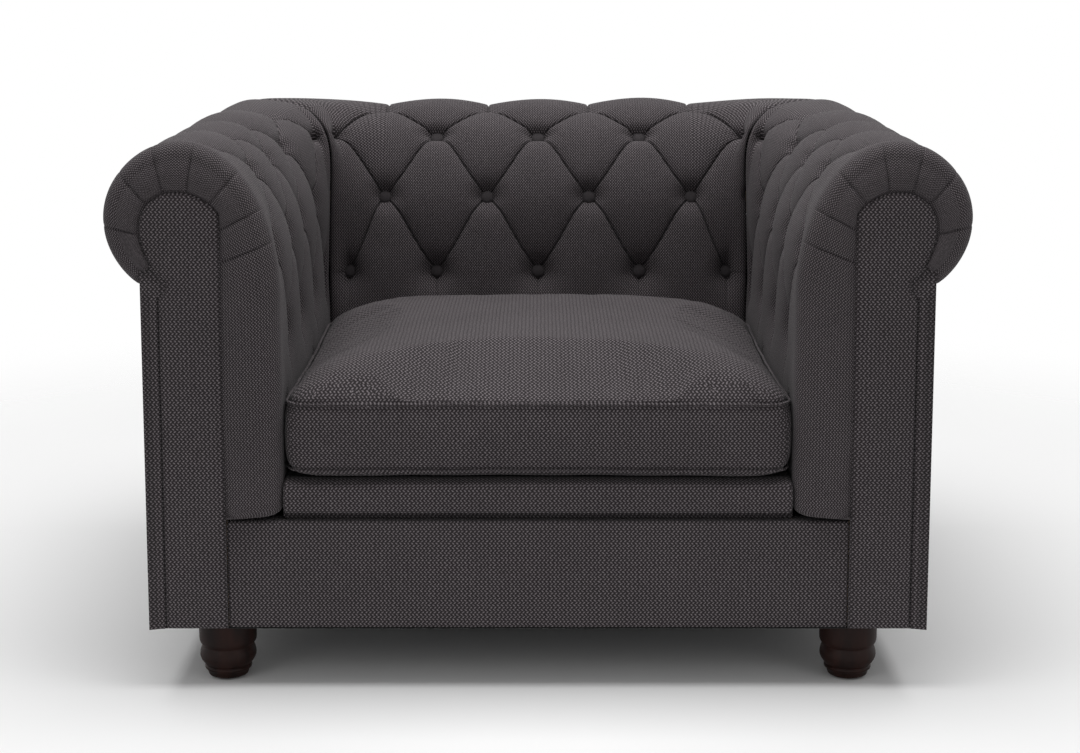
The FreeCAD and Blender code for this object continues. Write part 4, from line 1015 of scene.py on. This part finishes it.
def swept_panel(name, profile, span, end_round, step=0.012):
    """A closed (y, z) profile carried along X with softly rounded ends."""
    profile = np.array(profile)
    middle = profile.mean(axis=0)
    start, end = span
    count = max(2, int((end - start - 2 * end_round) / step))
    ends = []
    for part in range(5):
        angle = QUARTER * part / 5
        ends.append((start + end_round * (1 - math.cos(angle)), 1 - math.sin(angle)))
    body = [(x, 0.0) for x in np.linspace(start + end_round, end - end_round, count + 1)]
    rows = []
    for x, shrink in ends + body + [(start + end - x, shrink) for x, shrink in reversed(ends)]:
        pull = np.clip(end_round * shrink / np.maximum(np.abs(profile - middle), 1e-4), 0, 0.9)
        rows.append(np.insert(profile + (middle - profile) * pull, 0, x, 1))
    return lofted(name, rows)


def padded_board(name, span, y_span, z_span, radius, end_round, puff=0.0, step=0.008):
    """A padded board with rounded edges, its front (low y) side puffed out a little."""
    y_low, y_high = y_span[0] + radius, y_span[1] - radius
    z_low, z_high = z_span[0] + radius, z_span[1] - radius
    corners = ((y_low, z_low, 2), (y_high, z_low, 3), (y_high, z_high, 0), (y_low, z_high, 1))
    places = []
    for y, z, start in corners:
        for part in range(6):
            angle = QUARTER * (start + part / 5)
            places.append((y + radius * math.cos(angle), z + radius * math.sin(angle)))
    count = int((z_span[1] - z_span[0]) / step)
    for share in (part / count for part in range(1, count)):
        y = y_span[0] - puff * math.sin(math.pi * share)
        places.append((y, z_high - (z_high - z_low) * share))
    return swept_panel(name, places, span, end_round)


apron_low, apron_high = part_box("front_apron")
apron_span = (apron_low.x, apron_high.x)
apron_back = apron_high.y
apron_y, apron_z = (apron_low.y + 0.001, apron_back), (apron_low.z, apron_high.z)
apron = padded_board("front_apron_panel", apron_span, apron_y, apron_z, 0.0035, 0.004, 0.0012)
finished(apron, "front_apron")
LIP_BOTTOM = 0.2402
fold_y, fold_z = (apron_back - 0.003, apron_back + 0.009), (0.2383, apron_high.z)
finished(padded_board("apron_turned_in_edge", apron_span, fold_y, fold_z, 0.0006, 0.0005))
fold_y = (apron_back + 0.0092, apron_back + 0.029)
for side_name, span in (("left", (apron_low.x, -INNER)), ("right", (INNER, apron_high.x))):
    name = f"apron_corner_flap_{side_name}"
    finished(padded_board(name, span, fold_y, fold_z, 0.0006, 0.0005))

lip_low, lip_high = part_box("front_lip")


def lip_profile():
    """Cross-section of the stuffed lip: a hem below, a full nose and a flat top."""
    nose = [(0.0172, LIP_BOTTOM), (0.0172, 0.2505), (0.012, 0.2505), (0.0065, 0.2515)]
    nose += [(0.003, 0.2545), (0.0008, 0.2595), (0, 0.268), (0.0002, 0.277)]
    for part in range(9):
        angle = math.pi - QUARTER * part / 8
        nose.append((0.016 + 0.0156 * math.cos(angle), 0.2795 + 0.0155 * math.sin(angle)))
    nose.append((0.022, 0.2965))
    top = [(lip_high.y, lip_high.z), (lip_high.y, LIP_BOTTOM)]
    return top + [(lip_low.y + deep, height) for deep, height in nose]


lip = swept_panel("platform_lip", lip_profile(), (lip_low.x, lip_high.x), 0.007, 0.008)
finished(lip, "front_lip", fill=0.9)

deck_y, deck_z = (deck_low.y + 0.001, deck_high.y), (deck_low.z, deck_high.z)
deck = padded_board("seat_deck", (deck_low.x, deck_high.x), deck_y, deck_z, 0.008, 0.006)
finished(deck, "seat_deck_pad", material=deck_cloth, slot="deck_cloth", fill=0.9)

for side_name, side in SIDES:
    outside_cover(side_name, side)


def crowded_ends(low, high, count):
    return low + (high - low) * (0.5 - 0.5 * np.cos(np.linspace(0, math.pi, count)))


def outside_back_piece():
    low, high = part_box("outside_back")
    x = crowded_ends(low.x, high.x, 90)
    rows = []
    for z in crowded_ends(low.z, high.z, 46):
        near = np.minimum(np.minimum(x - low.x, high.x - x), min(z - low.z, high.z - z))
        fall = 0.0032 * np.exp(-near / 0.004) - 0.0012 * (1 - np.exp(-near / 0.06))
        ripple = 0.0005 * np.sin(9 * x + 3 * z) * np.minimum(1.0, near / 0.05)
        rows.append(np.insert(np.column_stack((x, high.y - fall - np.abs(ripple))), 2, z, 1))
    obj = lofted("outside_back_cover", rows, False)
    modified(obj, "SOLIDIFY", thickness=0.0035, offset=-1)
    finished(obj, "outside_back")


outside_back_piece()

# Turned feet: radius and height of each ring

FOOT_PROFILE = [
    (0.0262, 0.003), (0.0276, 0.0036), (0.0283, 0.0052), (0.0300, 0.0108), (0.0310, 0.0114),
    (0.0324, 0.0124), (0.0331, 0.0140), (0.0331, 0.0158), (0.0324, 0.0170), (0.0312, 0.0174),
    (0.0322, 0.0186), (0.0352, 0.0222), (0.0378, 0.0262), (0.0393, 0.0300), (0.0397, 0.0330),
    (0.0393, 0.0370), (0.0383, 0.0410), (0.0371, 0.0440), (0.0365, 0.0452), (0.0363, 0.0462),
    (0.0365, 0.0474), (0.0376, 0.0488), (0.0390, 0.0508), (0.0400, 0.0535), (0.0404, 0.0570),
    (0.0405, 0.0700), (0.0405, 0.0860), (0.0402, 0.0877), (0.0392, 0.0880),
]
foot_turns = ROUND * np.arange(72) / 72
foot_circle = np.column_stack((np.cos(foot_turns), np.sin(foot_turns)))
foot_centres = []
for node in sorted(frame["nodes"]):
    if node.startswith("foot_") and node != "foot_glides":
        low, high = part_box(node)
        centre = np.array(((low.x + high.x) / 2, (low.y + high.y) / 2))
        foot_centres.append(centre)
        rings = [np.insert(centre + foot_circle * radius, 2, z, 1) for radius, z in FOOT_PROFILE]
        foot = lofted(f"turned_{node}", rings)
        finished(foot, node, material=foot_wood, slot="foot_wood")

# Seat cushion

cushion_low, cushion_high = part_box("cushion_cover")
welt_low, welt_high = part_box("cushion_welt_top")
CUSHION_HALF = (cushion_high.x - cushion_low.x) / 2
CUSHION_NEAR = cushion_low.y
CUSHION_FAR = cushion_high.y
low_welt_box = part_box("cushion_welt_bottom")
PIPING_SIDES = 12
HIGH_SEAM = (welt_low.z + welt_high.z) / 2
LOW_SEAM = (low_welt_box[0].z + low_welt_box[1].z) / 2
MIDDLE = (HIGH_SEAM + LOW_SEAM) / 2
EDGE_CROWN = 0.044
EDGE_REACH = 0.150
DOME_CROWN = 0.014
CROWN_REACH = 0.310
CORNER_RADIUS = 0.030
REAR_CORNER_RADIUS = 0.062
SIDE_DRAW = 0.004


def cushion_line(inset, corner, rear_corner, count=112):
    """Plan outline of the cushion, its sides drawn in between the corners."""
    half_x = CUSHION_HALF - inset
    near = CUSHION_NEAR + inset
    far = CUSHION_FAR - inset
    centres = (
        (half_x - rear_corner, far - rear_corner, rear_corner, 0.001),
        (-half_x + rear_corner, far - rear_corner, rear_corner, SIDE_DRAW),
        (-half_x + corner, near + corner, corner, SIDE_DRAW),
        (half_x - corner, near + corner, corner, SIDE_DRAW),
    )
    places = []
    for quarter, (x, y, radius, pull) in enumerate(centres):
        turns = QUARTER * (quarter + np.arange(13) / 12)
        places.append(np.column_stack((x + radius * np.cos(turns), y + radius * np.sin(turns))))
        after = centres[(quarter + 1) % 4]
        out = np.array((math.cos(turns[-1]), math.sin(turns[-1])))
        begin, end = places[-1][-1], np.array(after[:2]) + after[2] * out
        share = np.arange(1, count)[:, None] / count
        places.append(begin + (end - begin) * share - pull * np.sin(math.pi * share) * out)
    return np.vstack(places)


def cushion_start():
    """Closed starting form of the cushion: steep at its seams, rounder in plan towards the top."""
    levels = [(cushion_low.z + 0.001, 0.016), (LOW_SEAM - 0.006, 0.004), (LOW_SEAM, 0.0)]
    levels += [(LOW_SEAM + 0.012, -0.0022), (MIDDLE - 0.0185, -0.0036), (MIDDLE, -0.0042)]
    levels += [(MIDDLE + 0.0185, -0.0036), (HIGH_SEAM - 0.012, -0.0022), (HIGH_SEAM, 0.0)]
    for share in (0.002, 0.01, 0.03, 0.06, 0.1, 0.16, 0.24, 0.34, 0.46, 0.6, 0.8, 1.0):
        edge = math.sqrt(1 - (1 - min(1.0, share * CROWN_REACH / EDGE_REACH)) ** 2)
        dome = 1 - (1 - share) ** 2
        levels.append((HIGH_SEAM + EDGE_CROWN * edge + DOME_CROWN * dome, share * CROWN_REACH))
    rows = []
    for height, inset in levels:
        room = (CUSHION_HALF - inset) * 0.9
        corner = min(CORNER_RADIUS + 0.8 * max(inset, 0.0), 0.140, room)
        rear_corner = min(REAR_CORNER_RADIUS + 1.5 * max(inset, 0.0), 0.190, room)
        rows.append(np.insert(cushion_line(inset, corner, rear_corner), 2, height, 1))
    return lofted("seat_cushion_cover", rows)


def cushion_edge_distance(points):
    """Distance inside the plan outline, for points near it."""
    x = CUSHION_HALF - np.abs(points[:, 0])
    y = np.minimum(points[:, 1] - CUSHION_NEAR, CUSHION_FAR - points[:, 1])
    radius = np.where(points[:, 1] > 0, REAR_CORNER_RADIUS, CORNER_RADIUS)
    beyond = np.hypot(np.maximum(radius - x, 0), np.maximum(radius - y, 0))
    in_corner = (x < radius) & (y < radius)
    return np.where(in_corner, radius - beyond, np.minimum(x, y))


CLOTH_SETTINGS = {
    "quality": 5,
    "mass": 0.25,
    "tension_stiffness": 12,
    "compression_stiffness": 12,
    "shear_stiffness": 4,
    "bending_stiffness": 0.4,
    "use_pressure": True,
    "uniform_pressure_force": 4.0,
    "vertex_group_mass": "held",
    "shrink_min": -0.015,
}
FILL_FRAMES = 20
FILL_LIMIT = 0.012


def inflate(obj):
    """Lets the slack cover fill under pressure while its seams and underside stay in place."""
    points = vertex_points(obj)
    edge = cushion_edge_distance(points)
    held = (edge < 0.012) & (
        (np.abs(points[:, 2] - HIGH_SEAM) < 0.004) | (np.abs(points[:, 2] - LOW_SEAM) < 0.004)
    )
    held |= points[:, 2] < cushion_low.z + 0.004
    # The zip runs in the middle of the rear border
    held |= (points[:, 1] > CUSHION_FAR - 0.012) & (np.abs(points[:, 2] - MIDDLE) < 0.018)
    group = obj.vertex_groups.new(name="held")
    for index in np.nonzero(held)[0]:
        group.add([int(index)], 1.0, "REPLACE")
    cloth = obj.modifiers.new("fill", "CLOTH")
    for key, value in CLOTH_SETTINGS.items():
        setattr(cloth.settings, key, value)
    cloth.settings.effector_weights.gravity = 0.0
    cloth.collision_settings.use_collision = False
    cloth.point_cache.frame_start = 1
    cloth.point_cache.frame_end = FILL_FRAMES
    scene = bpy.context.scene
    for number in range(1, FILL_FRAMES + 1):
        scene.frame_set(number)
    graph = bpy.context.evaluated_depsgraph_get()
    moved = read_array(obj.evaluated_get(graph).data.vertices, "co", 3) - points
    obj.modifiers.clear()
    scene.frame_set(1)
    length = np.linalg.norm(moved, axis=1)
    shorter = np.where(length > FILL_LIMIT, FILL_LIMIT / np.maximum(length, 1e-9), 1.0)
    filled = points + moved * shorter[:, None]
    side_room = INNER - 0.0015
    filled[:, 0] = np.clip(filled[:, 0], -side_room, side_room)
    filled[:, 1] = np.clip(filled[:, 1], FRONT + 0.001, BACK_FACE - 0.006)
    set_points(obj, filled)


cushion = cushion_start()
modified(cushion, "REMESH", mode="VOXEL", voxel_size=0.0055, use_smooth_shade=True)
modified(cushion, "SMOOTH", factor=0.5, iterations=3)
inflate(cushion)
modified(cushion, "SUBSURF", levels=1, render_levels=1)
cushion.data.polygons.foreach_set("use_smooth", [True] * len(cushion.data.polygons))


def cushion_wrinkles(points, normals):
    """Soft strain lines near the corners and slight unevenness of the filling."""
    x, y, z = points.T
    corner = np.minimum(CUSHION_HALF - np.abs(x), np.minimum(y - CUSHION_NEAR, CUSHION_FAR - y))
    on_top = np.clip((z - HIGH_SEAM - 0.004) / 0.02, 0, 1)
    wave = np.sin(15 * x + 6 * y + 0.5) * np.sin(12 * y - 4 * x + 1.0)
    wave += 0.5 * np.sin(31 * x - 11 * y) * np.sin(27 * y + 9 * x + 2)
    ends = np.clip((np.abs(x) - 0.22) / 0.12, 0, 1) * np.clip(corner / 0.02, 0, 1)
    pull = np.sin(2 * math.pi * (y - CUSHION_NEAR) / 0.052) * np.exp(-corner / 0.035) * ends
    push = on_top * (0.0013 * wave + 0.0009 * pull)
    side = (1 - on_top) * 0.0007 * np.sin(29 * (x + y)) * np.sin(21 * (x - y) + 40 * z)
    return points + normals * (push + side)[:, None]


set_points(cushion, cushion_wrinkles(vertex_points(cushion), vertex_normals(cushion)))


def drawn_in_at_seams(obj):
    """The cover dips beside each piped seam."""
    points = vertex_points(obj)
    edge = cushion_edge_distance(points)
    depth = np.zeros(len(points))
    for height in (HIGH_SEAM, LOW_SEAM):
        depth += 0.0022 * bell(points[:, 2] - height, 0.005) * (edge < 0.02)
    set_points(obj, points - vertex_normals(obj) * depth[:, None])


drawn_in_at_seams(cushion)
cushion_tree = BVHTree.FromPolygons(
    [tuple(v.co) for v in cushion.data.vertices],
    [tuple(p.vertices) for p in cushion.data.polygons],
)


def seam_on_cushion(name, height, radius, node):
    """A piped seam: a thin round fold of the cover that lies along the cushion's edge."""
    line = cushion_line(-0.010, CORNER_RADIUS + 0.010, REAR_CORNER_RADIUS + 0.010, 160)
    path = []
    for x, y in line:
        spot, normal, _, _ = cushion_tree.find_nearest(Vector((x, y, height)))
        out = Vector((normal.x, normal.y, 0))
        out = out.normalized() if out.length > 1e-4 else Vector((0, -1, 0))
        path.append(Vector((spot.x, spot.y, height)) + out * radius * 0.55)
    path = np.array(path)
    weights = ((-2, 1), (-1, 2), (0, 3), (1, 2), (2, 1))
    smooth = sum(np.roll(path, -shift, axis=0) * weight for shift, weight in weights) / 9
    heading = np.roll(smooth, -1, axis=0) - np.roll(smooth, 1, axis=0)
    across = np.cross(heading, (0, 0, 1))
    across /= np.linalg.norm(across, axis=1)[:, None]
    turns = ROUND * np.arange(PIPING_SIDES)[:, None] / PIPING_SIDES
    ring = np.insert(np.zeros((PIPING_SIDES, 2)), 2, np.sin(turns[:, 0]), 1)
    rows = []
    for place, centre in enumerate(smooth):
        lump = 1 + 0.05 * math.sin(place * 0.9) * math.sin(place * 0.37)
        rows.append(centre + (across[place] * np.cos(turns) + ring) * radius * lump)
    faces = grid_faces(len(rows) + 1, PIPING_SIDES, close=True)
    count = len(rows) * PIPING_SIDES
    faces = [[place % count for place in face] for face in faces]
    obj = mesh_object(name, np.vstack(rows), faces)
    face_outwards(obj)
    finished(obj, node, body="seat_cushion")


seam_on_cushion("cushion_piping_top", HIGH_SEAM, 0.0019, "cushion_welt_top")
seam_on_cushion("cushion_piping_bottom", LOW_SEAM, 0.0014, "cushion_welt_bottom")
finished(cushion, "cushion_cover", "cushion_foam_core", body="seat_cushion", fill=0.7)

# Dust cover


def dust_cover_piece():
    """A stretched sheet with a slight sag and a hole round each foot."""
    low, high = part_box("dust_cover")
    rows = []
    x = np.linspace(low.x, high.x, 120)
    for y in np.linspace(low.y, high.y, 96):
        edge = np.minimum(np.minimum(x - low.x, high.x - x), min(y - low.y, high.y - y))
        sag = 0.00025 * np.minimum(1.0, edge / 0.05) * (1 + np.sin(17 * x) * math.sin(15 * y))
        rows.append(np.column_stack((x, np.full(len(x), y), low.z + 0.0006 - sag)))
    vertices = np.vstack(rows)
    faces = np.array(grid_faces(len(rows), len(x)))
    middles = vertices[faces, :2].mean(axis=1)
    for centre in foot_centres:
        clear = np.linalg.norm(middles - centre, axis=1) > 0.037
        faces, middles = faces[clear], middles[clear]
    obj = mesh_object("base_dust_cover", vertices, faces)
    finished(obj, "dust_cover", material=node_finishes["dust_cloth"], slot="dust_cloth")


dust_cover_piece()

# The nodes that stay get their own finish
slot_of_node = {part["node"]: part["material_slot"] for part in frame["record"]["subparts"]}
for node_name, obj in frame["nodes"].items():
    if not obj.hide_render:
        set_material(obj, node_finishes[slot_of_node[node_name]])
        lay_weave(obj)

# Floor, light and camera

floor_corners = [(-9, -6, 0), (9, -6, 0), (9, 9, 0), (-9, 9, 0)]
floor = mesh_object("floor", floor_corners, [(0, 1, 2, 3)], False)
material, tree, shader = new_material("pale_floor")
wire(tree, shader, {"Base Color": (0.93, 0.93, 0.93, 1), "Roughness": 0.85})
wire(tree, shader, {"Specular IOR Level": 0.1})
# Far from the chair the floor fades into the white background
reach = add_node(tree, "ShaderNodeVectorMath", operation="LENGTH")
wire(tree, reach, {0: object_place(tree)})
limits = {"Value": reach.outputs["Value"], "From Min": 0.7, "From Max": 2.4}
fade = add_node(tree, "ShaderNodeMapRange", limits, interpolation_type="SMOOTHSTEP")
clear = add_node(tree, "ShaderNodeBsdfTransparent")
ends = {0: fade.outputs["Result"], 1: shader.outputs[0], 2: clear.outputs[0]}
blend = add_node(tree, "ShaderNodeMixShader", ends)
wire(tree, tree.nodes["Material Output"], {"Surface": blend.outputs[0]})
set_material(floor, material)

SKY_LIGHT = 0.39
world = bpy.data.worlds.new("studio")
bpy.context.scene.world = world
world.use_nodes = True
tree = world.node_tree
rays = add_node(tree, "ShaderNodeLightPath").outputs
seen = math_node(tree, "MAXIMUM", rays["Is Camera Ray"], rays["Is Glossy Ray"])
seen = math_node(tree, "MAXIMUM", seen, rays["Is Transmission Ray"])
strength = math_node(tree, "MULTIPLY_ADD", seen, 1.0 - SKY_LIGHT, SKY_LIGHT)
wire(tree, tree.nodes["Background"], {"Color": (1, 1, 1, 1), "Strength": strength})


def soft_light(name, place, target, size, power):
    data = bpy.data.lights.new(name, "AREA")
    data.shape = "RECTANGLE"
    data.size, data.size_y = size
    data.energy = power
    lamp = new_object(name, data)
    lamp.location = place
    lamp.rotation_euler = (Vector(target) - Vector(place)).to_track_quat("-Z", "Y").to_euler()


soft_light("overhead", (0.0, -0.25, 3.3), (0, -0.1, 0.4), (3.2, 2.4), 98)
soft_light("front_left", (-2.6, -3.2, 1.9), (0, 0, 0.45), (1.8, 1.8), 10)
soft_light("front_right", (2.8, -3.0, 1.7), (0, 0, 0.45), (1.8, 1.8), 7)

tangent = (CAMERA_HEIGHT - MATCH_HEIGHT) / CAMERA_AWAY
photo_offset = PHOTO_FOCAL * tangent - PHOTO_HORIZON_ABOVE_MIDDLE
slope = math.atan(tangent)
focal = PHOTO_FOCAL
for _ in range(6):
    below_axis = math.atan((photo_offset + CAMERA_SHIFT * PHOTO_WIDTH) / focal)
    focal = PHOTO_FOCAL * math.cos(below_axis) / math.cos(slope)
camera_data = bpy.data.cameras.new("camera")
camera_data.sensor_width = SENSOR_WIDTH
camera_data.lens = focal * SENSOR_WIDTH / PHOTO_WIDTH
camera_data.shift_y = -CAMERA_SHIFT
camera_data.shift_x = 2.0 / PHOTO_WIDTH
camera = new_object("camera", camera_data)
camera.location = (0.0, FRONT - CAMERA_AWAY, CAMERA_HEIGHT)
camera.rotation_euler = (QUARTER - slope + below_axis, 0, 0)
bpy.context.scene.camera = camera
bpy.context.scene.view_settings.view_transform = "Standard"
